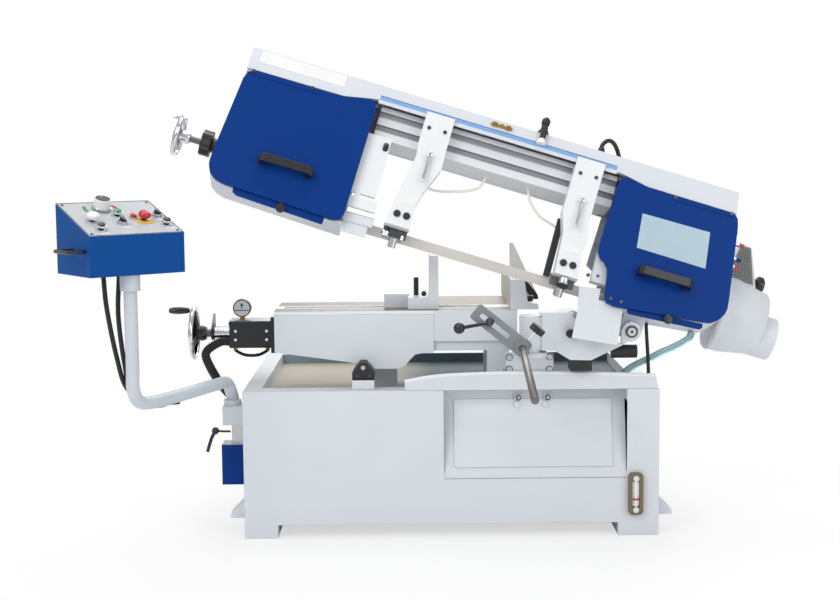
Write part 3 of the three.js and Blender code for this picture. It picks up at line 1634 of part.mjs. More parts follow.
function lockLever() {
  const hub = turnedY([
    [0, 0], [leverHubRadius, 0], [leverHubRadius, leverHubDepth], [0, leverHubDepth],
  ], roundSides);
  const lever = bar(
    leverRadius, [0, -leverHubDepth / 2, 0], [0, -leverHubDepth, -leverLength], smallSides, leverEndRadius,
  );
  return join(hub, lever);
}

for (const { side: name, x, shares, head } of guides) {
  const slide = place(`guide_${name}_slide`, bow, x, 0, 0);
  piece(`guide_arm_${name}`, guideArm(shares, head), greyPaint(), slide);
  const leverJoint = place(`guide_lever_${name}_joint`, slide, 0, -guideArmFront - seatGap, leverRise);
  piece(`guide_lever_${name}`, lockLever(), chrome(), leverJoint);
  const upright = place(`guide_head_${name}_frame`, slide, head, 0, 0);
  upright.rotation.x = radians(bowTiltAngle);
  const rollerJoint = place(`guide_roller_${name}_joint`, upright, 0, -rollerY, 0);
  piece(`guide_roller_${name}`, guideRoller(), chrome(), rollerJoint);
}

// Sheet guard over the band beside the left housing
function bladeGuard() {
  const seatY = -bowFront + bowWall + seatGap;
  const right = guardLeft + guardWidth;
  const body = block(guardLeft, right, seatY, -guardBack, guardBottom, guardBottom + guardHeight);
  const room = block(
    guardLeft - overrun, right - guardSheet, seatY + guardSheet, overrun,
    guardBottom + guardSheet, guardBottom + guardHeight - guardSheet,
  );
  const foot = block(
    guardLeft, guardLeft + guardFootWidth, seatY, -guardBack,
    guardBottom - guardFootDrop, guardBottom - guardFootDrop + guardFootHeight,
  );
  const web = block(
    guardLeft + guardWidth / 3, guardLeft + guardWidth / 2, seatY, seatY + guardSheet,
    guardBottom - guardFootDrop, guardBottom + guardSheet,
  );
  return join(cut(body, room), foot, web);
}
piece('blade_guard', bladeGuard(), greyPaint(), bow);

// Gearbox behind the driven wheel, with the motor beside it
function gearbox() {
  const y = bowBack + seatGap;
  const body = block(
    gearboxLeft, gearboxLeft + gearboxWidth, y, y + gearboxDepth,
    gearboxBottom, gearboxBottom + gearboxHeight,
  );
  const shaft = bar(
    bandHubRadius / 2 + runningGap, [rightWheelX, 0, bandWheelRadius],
    [rightWheelX, bowBack + gearboxDepth / 2, bandWheelRadius],
  );
  return cut(body, shaft);
}
piece('gearbox', gearbox(), greyPaint(), bow);

function motor() {
  const neckX = gearboxLeft + gearboxWidth + seatGap;
  const end = motorX + motorLength;
  const drum = turnedX([
    [0, neckX], [motorNeckRadius, neckX], [motorNeckRadius, motorX], [motorRadius - motorChamfer, motorX],
    [motorRadius, motorX + 2 * motorChamfer], [motorRadius - 2 * motorChamfer, end], [0, end],
  ], fineSides).translate(0, motorY, motorZ);
  const stub = turnedX([
    [0, end - motorStubLength], [motorStubRadius, end - motorStubLength],
    [motorStubRadius, end + motorStubLength], [0, end + motorStubLength],
  ], fineSides).translate(0, motorY, motorZ - motorStubDrop);
  const cowlShares = [[0, 0], [1, 0], [0.55, 1], [0.25, 1]];
  const cowl = front(
    outline(cowlShares, motorX, motorZ + motorRadius / 2, cowlWidth, cowlHeight),
    motorY - cowlDepth / 2, motorY + cowlDepth / 2,
  );
  return join(drum, stub, cowl);
}
piece('motor', motor(), greyPaint(), bow);

// Coolant fitting and cable gland on top of the bow
function coolantFitting() {
  const z = bowTop + seatGap;
  const y = -bowFront / 2;
  const cone = turned([
    [0, z], [fittingConeRadius, z], [fittingRadius + sheet / 2, z + fittingConeHeight],
    [0, z + fittingConeHeight],
  ]).translate(fittingX, y, 0);
  const top = z + fittingConeHeight + fittingHeight;
  return join(cone, bar(fittingRadius, [fittingX, y, z + fittingConeHeight / 2], [fittingX, y, top]));
}
piece('coolant_fitting', coolantFitting(), castBlack(), bow);

function cableLoop() {
  const z = bowTop + seatGap;
  const gland = bar(glandRadius, [glandX, 0, z], [glandX, 0, z + glandHeight]);
  const backY = bowBack + seatGap + loopRadius;
  const routeShares = [
    [0, 0, 0], [0, 0.06, 0.5], [0.2, 0.22, 0.92], [0.5, 0.52, 1], [0.82, 0.84, 0.62], [1, 1, 0], [1, 1, -0.9],
  ];
  const points = routeShares.map(([u, v, w]) => [
    glandX + u * loopSpan, v * backY, z + glandHeight + w * loopHeight - glandHeight / 2,
  ]);
  return join(gland, tube(points, loopRadius, hoseSteps, tubeSides));
}
piece('bow_cable_loop', cableLoop(), blackPlastic(), bow);

// Bracket with the pendant socket on the left side of the cabinet
const wallX = -halfWidth - seatGap;
function pendantBracket() {
  const body = block(
    socketX - socketRadius, wallX, socketY - bracketDepth / 2, socketY + bracketDepth / 2,
    bracketTop - bracketHeight, bracketTop - socketHeight / 4,
  );
  const socket = bar(
    socketRadius, [socketX, socketY, bracketTop - socketHeight], [socketX, socketY, bracketTop], fineSides,
  );
  const bore = bar(
    boreRadius(pipeRadius, fineSides), [socketX, socketY, bracketTop - socketHeight + bracketThickness],
    [socketX, socketY, bracketTop + overrun], fineSides,
  );
  return cut(join(body, socket), bore);
}
piece('pendant_bracket', pendantBracket(), castBlack());

function valveBox() {
  const top = bracketTop - bracketHeight - seatGap;
  const base = top - valveBlockHeight;
  const stemBack = valveY + valveDepth * valveBlockShare;
  const stem = block(wallX - valveBlockWidth, wallX, valveY, stemBack, base, top);
  const box = block(
    wallX - valveBoxWidth, wallX, valveY - valveDepth / 3, valveY + (valveDepth * 2) / 3,
    base - valveBoxHeight, base + sheet,
  );
  return join(stem, box);
}
piece('valve_box', valveBox(), bluePaint());

// Pendant pipe swivelling in the socket
const pipeJoint = place('pendant_pipe_joint', machine, socketX, socketY, 0);
function pendantPipe() {
  const low = cabinetTop + pipeLow / 2;
  const start = bracketTop - socketHeight + bracketThickness + seatGap;
  const routeShares = [
    [0, 0, start], [0, 0, (start + bracketTop) / 2], [0, 0, bracketTop], [0, 0, bracketTop + 2 * sheet],
    [0.06, 0.06, low], [0.2, 0.2, low + sheet], [0.5, 0.5, low], [0.82, 0.82, low],
    [0.95, 0.95, low + pipeBend / 4], [1, 1, low + pipeBend], [1, 1, low + 2 * pipeBend],
    [1, 1, (low + bracketTop + pipeHigh) / 2 + pipeBend],
    [1, 1, cabinetTop + pipeHigh],
  ];
  const points = routeShares.map(([u, v, z]) => [u * pipeReachX, v * pipeReachY, z]);
  return tube(points, pipeRadius, pipeSteps, tubeSides);
}
piece('pendant_pipe', pendantPipe(), greyPaint(), pipeJoint);

// Pendant box turning on the pipe
const boxBottom = cabinetTop + pipeHigh + bracketThickness * 2;
const boxJoint = place('pendant_box_joint', pipeJoint, pipeReachX, pipeReachY, boxBottom);
const boxTurn = place('pendant_box_frame', boxJoint, 0, 0, 0);
boxTurn.rotation.z = radians(pendantTurn);
const boxLeft = boxOffsetX - boxWidth / 2;
const boxFrontY = boxOffsetY - boxDepth / 2;
const panelSlope = Math.atan2(boxBackHeight - boxFrontHeight, boxDepth);
const panelLength = boxDepth / Math.cos(panelSlope);
const panel = place('pendant_panel', boxTurn, boxOffsetX, boxFrontY, boxFrontHeight);
panel.rotation.x = panelSlope;

// Places on the panel: share of the width from the middle, share of the depth from the front
const controls = [
  { name: 'feed_dial', kind: 'dial', share: [-0.1, 0.77], color: 0x202225 },
  { name: 'start_mushroom', kind: 'mushroom', share: [-0.32, 0.42], color: 0xe8e8e6 },
  { name: 'cycle_button', kind: 'button', share: [-0.01, 0.55], color: 0x1d8a4a },
  { name: 'jaw_selector', kind: 'selector', share: [-0.04, 0.32], color: 0x1b1c1f },
  { name: 'pump_button', kind: 'button', share: [-0.32, 0.17], color: 0xb9bcc0 },
  { name: 'emergency_stop', kind: 'mushroom', share: [0.22, 0.4], color: 0xc3232b },
  { name: 'mode_selector', kind: 'selector', share: [0.4, 0.5], color: 0x1b1c1f },
  { name: 'lower_button', kind: 'button', share: [0.4, 0.24], color: 0x2b2c30 },
];
const onPanel = ([u, v]) => [u * boxWidth, v * panelLength];
const stemRadius = buttonRadius / 2;

function pendantBox() {
  const profile = [
    new THREE.Vector2(boxFrontY, 0),
    new THREE.Vector2(boxFrontY + boxDepth, 0),
    new THREE.Vector2(boxFrontY + boxDepth, boxBackHeight),
    new THREE.Vector2(boxFrontY, boxFrontHeight),
  ];
  const shell = side(profile, boxLeft, boxLeft + boxWidth);
  const room = side(inset(profile, boxSheet), boxLeft + boxSheet, boxLeft + boxWidth - boxSheet);
  const collar = bar(collarRadius, [0, 0, -collarHeight], [0, 0, boxSheet / 2], fineSides);
  const onFace = (geometry) => geometry.rotateX(panelSlope).translate(boxOffsetX, boxFrontY, boxFrontHeight);
  const bezels = controls.map(({ share }) => {
    const [x, y] = onPanel(share);
    return onFace(bar(bezelRadius, [x, y, -boxSheet / 2], [x, y, bezelHeight], roundSides));
  });
  const holes = controls.map(({ share }) => {
    const [x, y] = onPanel(share);
    const hole = bar(
      stemRadius + runningGap, [x, y, -2 * boxSheet], [x, y, bezelHeight + overrun], smallSides,
    );
    return onFace(hole);
  });
  const pipeBore = bar(
    boreRadius(pipeRadius, fineSides),
    [0, 0, -collarHeight - overrun], [0, 0, cabinetTop + pipeHigh - boxBottom + 2 * seatGap],
    fineSides,
  );
  const cableHole = bar(pipeRadius / 2, [0, 0, -collarHeight], [0, 0, 2 * boxSheet]);
  const bailZ = boxFrontHeight * bailHeightShare;
  const bailBack = boxFrontY + boxDepth / 2;
  const bailX = boxLeft - bailReach;
  const bailFrontY = boxFrontY + bailReach / 2;
  const bailParts = [
    bar(bailRadius, [boxLeft + boxSheet / 2, bailFrontY, bailZ], [bailX, bailFrontY, bailZ], smallSides),
    bar(bailRadius, [bailX, bailFrontY, bailZ], [bailX, bailBack, bailZ], smallSides),
    bar(bailRadius, [bailX, bailBack, bailZ], [boxLeft + boxSheet / 2, bailBack, bailZ], smallSides),
    new THREE.SphereGeometry(bailRadius, smallSides, smallSides / 2).translate(bailX, bailFrontY, bailZ),
    new THREE.SphereGeometry(bailRadius, smallSides, smallSides / 2).translate(bailX, bailBack, bailZ),
  ];
  return cut(join(cut(shell, room), collar, ...bezels, ...bailParts), pipeBore, cableHole, ...holes);
}
piece('pendant_box', pendantBox(), bluePaint(), boxTurn);

const capRest = bezelHeight + buttonStroke + seatGap;
const stem = [[0, -2 * boxSheet], [stemRadius, -2 * boxSheet]];
const controlShapes = {
  dial: () => turned([
    ...stem, [stemRadius, bezelHeight + seatGap], [dialRadius, bezelHeight + seatGap],
    [dialTopRadius, bezelHeight + dialHeight], [0, bezelHeight + dialHeight],
  ], roundSides),
  mushroom: () => turned([
    ...stem, [stemRadius, capRest], [mushroomNeckRadius, capRest],
    [mushroomRadius, capRest + mushroomHeight / 2], [mushroomCrownRadius, capRest + mushroomHeight],
    [0, capRest + mushroomHeight],
  ], roundSides),
  button: () => turned([
    ...stem, [stemRadius, capRest], [buttonRadius, capRest], [buttonRadius, capRest + buttonHeight],
    [0, capRest + buttonHeight],
  ], roundSides),
  selector: () => join(
    turned([
      ...stem, [stemRadius, bezelHeight + seatGap], [buttonRadius, bezelHeight + seatGap],
      [buttonRadius, bezelHeight + selectorHeight / 2], [0, bezelHeight + selectorHeight / 2],
    ], roundSides),
    block(
      -selectorHalfWidth, selectorHalfWidth, -selectorHalfLength, selectorHalfLength,
      bezelHeight + sheet / 2, bezelHeight + selectorHeight,
    ),
  ),
};
for (const { name, kind, share, color } of controls) {
  const [x, y] = onPanel(share);
  const joint = place(`${name}_joint`, panel, x, y, 0);
  piece(name, controlShapes[kind](), paint(color, 0.35, 0), joint);
}

// Ribbed conduit from the vise cylinder to the back of the pendant bracket
function conduit() {
  const startX = bedLeft - seatGap - cylinderLength - seatGap;
  const endY = socketY + bracketDepth / 2 + seatGap;
  const lowZ = bracketTop - bracketHeight / 2;
  const highZ = screwZ - cylinderHeight * conduitStartShare;
  const dropX = startX - conduitLead;
  const backY = slotY - 2 * conduitRadius;
  const points = [
    [startX, backY, highZ],
    [startX - 2 * conduitRadius, backY, highZ],
    [dropX, backY - conduitRadius, highZ - 2 * conduitRadius],
    [dropX + conduitRadius / 2, backY - conduitRadius, (2 * highZ + lowZ) / 3],
    [(dropX + socketX) / 2, backY, (highZ + 2 * lowZ) / 3],
    [socketX, backY, lowZ + conduitRadius],
    [socketX, (backY + endY) / 2, lowZ],
    [socketX, endY, lowZ],
  ].map((p) => new THREE.Vector3(...p));
  const curve = new THREE.CatmullRomCurve3(points);
  const ribs = Math.floor(curve.getLength() / conduitRibPitch);
  const rings = [];
  const frames = curve.computeFrenetFrames(2 * ribs + 1, false);
  const ring = (i, radius) => {
    const centre = curve.getPointAt(i / (2 * ribs + 1));
    return Array.from({ length: smallSides }, (_, k) => {
      const angle = (k / smallSides) * 2 * Math.PI;
      return centre.clone()
        .addScaledVector(frames.normals[i], radius * Math.cos(angle))
        .addScaledVector(frames.binormals[i], radius * Math.sin(angle));
    });
  };
  for (let i = 0; i <= 2 * ribs + 1; i += 1) {
    rings.push(ring(i, i % 4 < 2 ? conduitRadius : conduitRadius - conduitRibHeight));
  }
  for (let i = 2 * ribs + 1; i >= 0; i -= 1) {
    if (i === 2 * ribs + 1 || i % tubeSides === 0) {
      rings.push(ring(i, conduitBore));
    }
  }
  const positions = rings.flat().flatMap((p) => p.toArray());
  const index = [];
  rings.forEach((_, i) => {
    const next = (i + 1) % rings.length;
    for (let k = 0; k < smallSides; k += 1) {
      const l = (k + 1) % smallSides;
      const [a, b] = [i * smallSides + k, i * smallSides + l];
      const [c, d] = [next * smallSides + l, next * smallSides + k];
      index.push(a, b, c, a, c, d);
    }
  });
  const geometry = new THREE.BufferGeometry();
  geometry.setAttribute('position', new THREE.Float32BufferAttribute(positions, 3));
  geometry.setIndex(index);
  return geometry;
}
piece('conduit', conduit(), blackPlastic());

// Hydraulic hose looping under the vise cylinder
function viseHose() {
  const top = screwZ - cylinderHeight / 2 - seatGap;
  const y = slotY + cylinderDepth / 4;
  const x0 = bedLeft - cylinderLength + 2 * hoseRadius;
  const x1 = bedLeft - cylinderFlange - 4 * hoseRadius;
  const sag = 6 * hoseRadius;
  return tube([
    [x0, y, top], [x0, y, top - sag / 2], [x0 + sag, y, top - sag], [x1 - sag, y, top - sag],
    [x1, y, top - sag / 2], [x1, y, top],
  ], hoseRadius, hoseSteps, smallSides);
}
piece('vise_hose', viseHose(), blackPlastic());

// Point on the underside of the right housing, where a hose or cable leaves it
function underHousing(x, gap) {
  const [low, high] = [rightOutline[2], rightOutline[3]];
  const z = low.y + ((x - low.x) / (high.x - low.x)) * (high.y - low.y) - gap;
  machine.updateMatrixWorld(true);
  return bow.localToWorld(new THREE.Vector3(x, bowBack - outletInset, z));
}

// Straight out of the housing, then down to the given point by shares of X, Y and Z
function hangingRoute(x, radius, to, shares) {
  const from = underHousing(x, radius / 6);
  const below = underHousing(x, radius);
  return [from.toArray(), below.toArray(), ...shares.map(([u, v, w]) => [
    below.x + u * (to.x - below.x),
    below.y + v * (to.y - below.y),
    below.z + w * (to.z - below.z),
  ])];
}

// Clear drain hose from the right housing down to the chip tray
const drainShares = [
  [0.12, 0.11, 0.12], [0.28, 0.22, 0.22], [0.56, 0.5, 0.4], [0.85, 0.81, 0.6], [0.97, 0.94, 0.78], [1, 1, 1],
];
const drainEnd = new THREE.Vector3(
  halfWidth - drainEndInset, trayFrontRim + drainEndDepth, trayFloor + sheet / 2,
);
const drainRoute = hangingRoute(drainX, drainRadius, drainEnd, drainShares);
piece('drain_hose', tube(drainRoute, drainRadius, hoseSteps, tubeSides), paint(0xa8c4c4, 0.2, 0));

// Cable from under the bow down to the cabinet's side rim
const bowCableShares = [[0.1, 0, 0.14], [0.5, 0.2, 0.45], [0.9, 0.6, 0.8], [1, 1, 1]];
const bowCableEnd = new THREE.Vector3(
  halfWidth - cableEndInset, trayFrontRim + 2 * cableRadius, cabinetTop + sheet / 2,
);
const bowCableRoute = hangingRoute(bowCableX, cableRadius, bowCableEnd, bowCableShares);
piece('bow_cable', tube(bowCableRoute, cableRadius, hoseSteps, smallSides), blackPlastic());

// The part stands on the floor with its origin under the middle of its outline
machine.updateMatrixWorld(true);
const bounds = new THREE.Box3().setFromObject(machine, true);
const middle = bounds.getCenter(new THREE.Vector3());
const saw = new THREE.Group();
machine.position.set(-middle.x, -middle.y, -bounds.min.z);
saw.add(machine);
saw.updateMatrixWorld(true);

export default saw;
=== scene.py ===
"""Horizontal mitre band saw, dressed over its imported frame.

Sizes are in millimetres of the places defined below, which turn them into the frame's metres.
"""

import json
import logging
import math
from dataclasses import dataclass
from enum import Enum
from typing import Callable, Iterable, Optional, Sequence, Union

import bmesh
import bpy
from mathutils import Matrix, Vector

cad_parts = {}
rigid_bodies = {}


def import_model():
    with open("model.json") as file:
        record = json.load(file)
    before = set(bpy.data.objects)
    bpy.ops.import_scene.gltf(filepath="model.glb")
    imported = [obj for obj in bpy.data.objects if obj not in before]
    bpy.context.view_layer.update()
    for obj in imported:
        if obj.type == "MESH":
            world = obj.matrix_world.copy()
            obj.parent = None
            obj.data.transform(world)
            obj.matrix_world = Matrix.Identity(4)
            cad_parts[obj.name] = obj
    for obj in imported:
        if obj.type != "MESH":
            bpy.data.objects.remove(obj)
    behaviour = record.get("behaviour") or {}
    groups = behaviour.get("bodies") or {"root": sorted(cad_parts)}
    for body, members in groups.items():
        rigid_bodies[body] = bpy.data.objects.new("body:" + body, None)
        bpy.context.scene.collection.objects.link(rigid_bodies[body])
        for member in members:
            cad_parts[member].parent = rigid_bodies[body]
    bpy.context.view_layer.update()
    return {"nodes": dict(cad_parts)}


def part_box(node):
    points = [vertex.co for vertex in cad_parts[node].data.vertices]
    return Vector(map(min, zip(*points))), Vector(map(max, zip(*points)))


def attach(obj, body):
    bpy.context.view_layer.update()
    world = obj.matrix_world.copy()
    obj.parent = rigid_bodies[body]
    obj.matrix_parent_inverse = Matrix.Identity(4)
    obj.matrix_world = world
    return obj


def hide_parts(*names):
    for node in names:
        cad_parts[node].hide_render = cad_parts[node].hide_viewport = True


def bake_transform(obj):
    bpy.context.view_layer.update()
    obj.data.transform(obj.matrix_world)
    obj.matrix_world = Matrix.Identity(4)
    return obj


LOG = logging.getLogger("band_saw")
Point = tuple[float, float, float]
Flat = tuple[float, float]
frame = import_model()
NODES = frame["nodes"]
METRES = 0.001
POLE_RADIUS = 0.02
MERGE_GAP = 0.02
SHARP_ANGLE = 34.0
BEVEL_ANGLE = 32.0
BEVEL_STEPS = 2
FRONT: Point = (0, -1, 0)
UP: Point = (0, 0, 1)
RIGHT: Point = (1, 0, 0)
LEFT: Point = (-1, 0, 0)


def srgb(red: int, green: int, blue: int) -> tuple[float, float, float, float]:
    """Turns a colour as it shows on a screen into a linear one.

    Args:
        red: Red share from 0 to 255.
        green: Green share from 0 to 255.
        blue: Blue share from 0 to 255.

    Returns:
        The linear colour with full alpha.
    """

    def linear(value: int) -> float:
        """Returns one channel in linear light."""
        share = value / 255
        return share / 12.92 if share <= 0.04045 else ((share + 0.055) / 1.055) ** 2.4

    return linear(red), linear(green), linear(blue), 1.0


class Tone(Enum):
    """Colours of the machine's paints and plastics, and of the painted shade and painted light on some of
    them.
    """

    GREY = srgb(212, 217, 223)
    PALE = srgb(228, 232, 235)
    BLUE = srgb(0, 52, 126)
    PANEL_BLUE = srgb(0, 72, 144)
    PIPE = srgb(200, 206, 213)
    PANEL = srgb(186, 190, 194)
    NOTICE = srgb(172, 196, 208)
    TAN = srgb(132, 121, 108)
    IRON = srgb(112, 118, 122)
    HEAD = srgb(78, 81, 86)
    JAW = srgb(214, 212, 204)
    BAND = srgb(212, 208, 204)
    MESH = srgb(112, 118, 116)
    SHADE_LEFT = srgb(142, 160, 166)
    SHADE_RIGHT = srgb(70, 86, 92)
    BRONZE = srgb(128, 117, 96)
    COOLANT = (0.42, 0.64, 0.66, 1.0)
    # Painted shade on the tray floor under the bed.
    COOLANT_DARK = srgb(84, 94, 100)
    LIT_BLUE = srgb(120, 168, 220)
    BLACK = srgb(26, 27, 30)
    BEIGE = srgb(186, 180, 166)
    CREAM = srgb(238, 235, 224)
    STEEL = srgb(126, 122, 117)
    DARK_STEEL = srgb(92, 92, 94)
    # Painted shade inside the beam's grooves.
    GROOVE = srgb(150, 154, 162)
    CHROME = srgb(222, 224, 228)
    BRASS = srgb(178, 142, 72)
    RED = srgb(190, 28, 36)
    GREEN = srgb(28, 142, 84)
    YELLOW = srgb(236, 186, 20)
    SILVER = srgb(196, 198, 202)
    WHITE = srgb(240, 240, 238)


class Axis(Enum):
    """Direction in which a flat outline is carried or a profile is turned."""

    X = 0
    Y = 1
    Z = 2


class Value:
    """A number socket that takes part in Python expressions."""

    def __init__(self, graph: "Graph", socket: bpy.types.NodeSocket) -> None:
        """Wraps a socket of a graph."""
        self.graph = graph
        self.socket = socket

    def _maths(self, operation: str, first: object, second: object) -> "Value":
        """Adds one Math node.

        Args:
            operation: Name of the operation.
            first: Left value.
            second: Right value.

        Returns:
            The result as a value.
        """
        made = self.graph.node("ShaderNodeMath", {"operation": operation}, {0: first, 1: second})
        return Value(self.graph, made.outputs[0])

    def __add__(self, other: object) -> "Value":
        """Returns the sum."""
        return self._maths("ADD", self, other)

    __radd__ = __add__

    def __sub__(self, other: object) -> "Value":
        """Returns the difference."""
        return self._maths("SUBTRACT", self, other)

    def __rsub__(self, other: object) -> "Value":
        """Returns the difference the other way round."""
        return self._maths("SUBTRACT", other, self)

    def __mul__(self, other: object) -> "Value":
        """Returns the product."""
        return self._maths("MULTIPLY", self, other)

    __rmul__ = __mul__

    def __gt__(self, other: object) -> "Value":
        """Returns one where the value is larger."""
        return self._maths("GREATER_THAN", self, other)

    def __lt__(self, other: object) -> "Value":
        """Returns one where the value is smaller."""
        return self._maths("LESS_THAN", self, other)


class Graph:
    """A node tree, of a material or of geometry, with one method that makes its nodes."""

    def __init__(self, tree: bpy.types.NodeTree) -> None:
        """Empties the tree."""
        self.tree = tree
        tree.nodes.clear()

    @staticmethod
    def socket(group: Iterable[bpy.types.NodeSocket], key: Union[int, str]) -> bpy.types.NodeSocket:
        """Finds a socket.

        Args:
            group: Inputs or outputs of a node.
            key: Its place, identifier or name.

        Returns:
            The socket.
        """
        if isinstance(key, int):
            return list(group)[key]
        for item in group:
            if item.identifier == key:
                return item
        return next(item for item in group if item.name == key)

    def feed(self, target: bpy.types.NodeSocket, value: object) -> None:
        """Links an input to a value or a socket, or sets it to a plain number or colour."""
        if isinstance(value, Value):
            value = value.socket
        if isinstance(value, bpy.types.NodeSocket):
            self.tree.links.new(value, target)
        else:
            target.default_value = value

    def node(
        self, kind: str, settings: Optional[dict] = None, values: Optional[dict] = None,
    ) -> bpy.types.Node:
        """Makes a node.

        Args:
            kind: Type of the node.
            settings: Properties set first; a ramp's stops are given as "stops".
            values: Numbers, values or sockets for its inputs.

        Returns:
            The node.
        """
        made = self.tree.nodes.new(kind)
        for name, setting in (settings or {}).items():
            if name == "stops":
                ramp = made.color_ramp
                while len(ramp.elements) < len(setting):
                    ramp.elements.new(0.5)
                for element, (place, colour) in zip(ramp.elements, setting):
                    element.position = place
                    element.color = colour
            else:
                setattr(made, name, setting)
        for key, value in (values or {}).items():
            self.feed(self.socket(made.inputs, key), value)
        return made

    def value(self, node: bpy.types.Node, key: Union[int, str] = 0) -> Value:
        """Returns an output of a node as a value."""
        return Value(self, self.socket(node.outputs, key))

    def blend(self, factor: object, first: object, second: object) -> bpy.types.NodeSocket:
        """Mixes two colours.

        Args:
            factor: Share of the second colour.
            first: Colour at factor zero.
            second: Colour at factor one.

        Returns:
            The mixed colour.
        """
        made = self.node(
            "ShaderNodeMix", {"data_type": "RGBA"},
            {"Factor_Float": factor, "A_Color": first, "B_Color": second},
        )
        return self.socket(made.outputs, "Result_Color")


class Skin:
    """Material under construction, with the pattern nodes that the finishes share."""

    def __init__(self, name: str) -> None:
        """Starts an empty material with its shader and output."""
        self.material = bpy.data.materials.new(name)
        self.material.use_nodes = True
        self.graph = Graph(self.material.node_tree)
        self.shader = self.graph.node("ShaderNodeBsdfPrincipled")
        self.graph.node("ShaderNodeOutputMaterial", None, {"Surface": self.shader.outputs[0]})
        self.place = self.graph.node("ShaderNodeTexCoord").outputs["Object"]

    def noise(
        self, scale: float, detail: float, stretch: Point = (1.0, 1.0, 1.0), lean: float = 0.0,
    ) -> Value:
        """Adds a noise over the object's own coordinates.

        Args:
            scale: Number of features per metre.
            detail: Octaves of finer noise.
            stretch: Factor on each axis.
            lean: Turn of the pattern about the cross axis in degrees.

        Returns:
            The noise from zero to one.
        """
        mapped = self.graph.node("ShaderNodeMapping", {"vector_type": "TEXTURE"}, {
            "Vector": self.place, "Rotation": (0.0, math.radians(lean), 0.0),
            "Scale": tuple(1 / factor for factor in stretch),
        })
        made = self.graph.node(
            "ShaderNodeTexNoise", None, {"Vector": mapped.outputs[0], "Scale": scale, "Detail": detail},
        )
        return self.graph.value(made)

    def height(self) -> Value:
        """Returns the height above the floor in metres."""
        return self.along("Z")

    def along(self, axis: str) -> Value:
        """Returns the place along a named axis in metres."""
        apart = self.graph.node("ShaderNodeSeparateXYZ", None, {0: self.place})
        return self.graph.value(apart, axis)

    def bump(self, height: Value, strength: float, distance: float) -> None:
        """Presses a height pattern into the surface.

        Args:
            height: Pattern from zero to one.
            strength: Strength of the effect.
            distance: Depth in metres.
        """
        made = self.graph.node(
            "ShaderNodeBump", None, {"Height": height, "Strength": strength, "Distance": distance},
        )
        self.set("Normal", made.outputs[0])

    def set(self, name: str, value: object) -> None:
        """Sets or links one input of the shader."""
        self.graph.feed(self.shader.inputs[name], value)


_MADE: dict[str, bpy.types.Material] = {}


@dataclass(frozen=True)
class Finish:
    """Base of all finishes: a name and a colour, made once."""

    name: str
    tone: Tone

    def material(self) -> bpy.types.Material:
        """Returns the material, made on first use."""
        if self.name not in _MADE:
            skin = Skin(self.name)
            self.dress(skin)
            _MADE[self.name] = skin.material
        return _MADE[self.name]

    def dress(self, skin: Skin) -> None:
        """Fills the material's nodes."""
        skin.set("Base Color", self.tone.value)

    def shade(self, share: float) -> tuple[float, float, float, float]:
        """Returns the colour darkened to a share of itself."""
        red, green, blue, alpha = self.tone.value
        return red * share, green * share, blue * share, alpha


@dataclass(frozen=True)
class Paint(Finish):
    """Machine enamel: faint mottling, a fine orange peel, and grime towards the floor."""

    roughness: float = 0.42
    coat: float = 0.0
    grime: float = 0.12
    gloss: float = 0.5

    def dress(self, skin: Skin) -> None:
        """Fills the material's nodes."""
        mottle = skin.noise(7.0, 3.0)
        low = (0.09 - skin.height()) * 9.0
        dirt = skin.noise(26.0, 4.0) * (low > 0.0) * low * self.grime
        colour = skin.graph.blend(mottle, self.shade(0.94), self.tone.value)
        skin.set("Base Color", skin.graph.blend(dirt, colour, self.shade(0.45)))
        rough = skin.noise(60.0, 2.0)
        skin.set("Roughness", rough * 0.12 + (self.roughness - 0.06))
        skin.set("Coat Weight", self.coat)
        skin.set("Coat Roughness", 0.12)
        skin.set("Specular IOR Level", self.gloss)
        skin.bump(skin.noise(620.0, 1.0), 0.1, 0.0002)


@dataclass(frozen=True)
class Ground(Finish):
    """Ground or brushed steel with streaks along one axis and faint stains."""

    stretch: Point = (2.0, 60.0, 60.0)
    roughness: float = 0.32
    metallic: float = 0.9
    lean: float = 0.0
    score: float = 0.03

    def dress(self, skin: Skin) -> None:
        """Fills the material's nodes."""
        streak = skin.noise(14.0, 4.0, self.stretch, self.lean)
        stain = skin.noise(9.0, 3.0)
        colour = skin.graph.blend(streak, self.shade(0.86), self.tone.value)
        skin.set("Base Color", skin.graph.blend(stain * 0.2, colour, self.shade(0.75)))
        skin.set("Metallic", self.metallic)
        skin.set("Roughness", streak * 0.16 + (self.roughness - 0.08))
        skin.bump(streak, self.score, 0.0002)


@dataclass(frozen=True)
class Polished(Finish):
    """Polished or plated metal with faint handling smears."""

    roughness: float = 0.14

    def dress(self, skin: Skin) -> None:
        """Fills the material's nodes."""
        smear = skin.noise(34.0, 3.0)
        skin.set("Base Color", skin.graph.blend(smear, self.shade(0.93), self.tone.value))
        skin.set("Metallic", 1.0)
        skin.set("Roughness", smear * 0.14 + (self.roughness - 0.05))


@dataclass(frozen=True)
class Moulded(Finish):
    """Moulded plastic or rubber with a fine grain."""

    roughness: float = 0.4
    grain: float = 0.15
    coat: float = 0.0

    def dress(self, skin: Skin) -> None:
        """Fills the material's nodes."""
        cloud = skin.noise(40.0, 2.0)
        skin.set("Base Color", skin.graph.blend(cloud, self.shade(0.86), self.tone.value))
        skin.set("Roughness", cloud * 0.12 + (self.roughness - 0.06))
        skin.set("Coat Weight", self.coat)
        skin.bump(skin.noise(900.0, 2.0), self.grain, 0.0002)


@dataclass(frozen=True)
class Cast(Finish):
    """Painted casting with the roughness of its sand mould."""

    roughness: float = 0.5

    def dress(self, skin: Skin) -> None:
        """Fills the material's nodes."""
        sand = skin.noise(330.0, 3.0)
        rub = skin.noise(18.0, 4.0)
        skin.set("Base Color", skin.graph.blend(rub * 0.5, self.tone.value, self.shade(2.2)))
        skin.set("Roughness", rub * 0.2 + (self.roughness - 0.1))
        skin.bump(sand, 0.3, 0.0004)


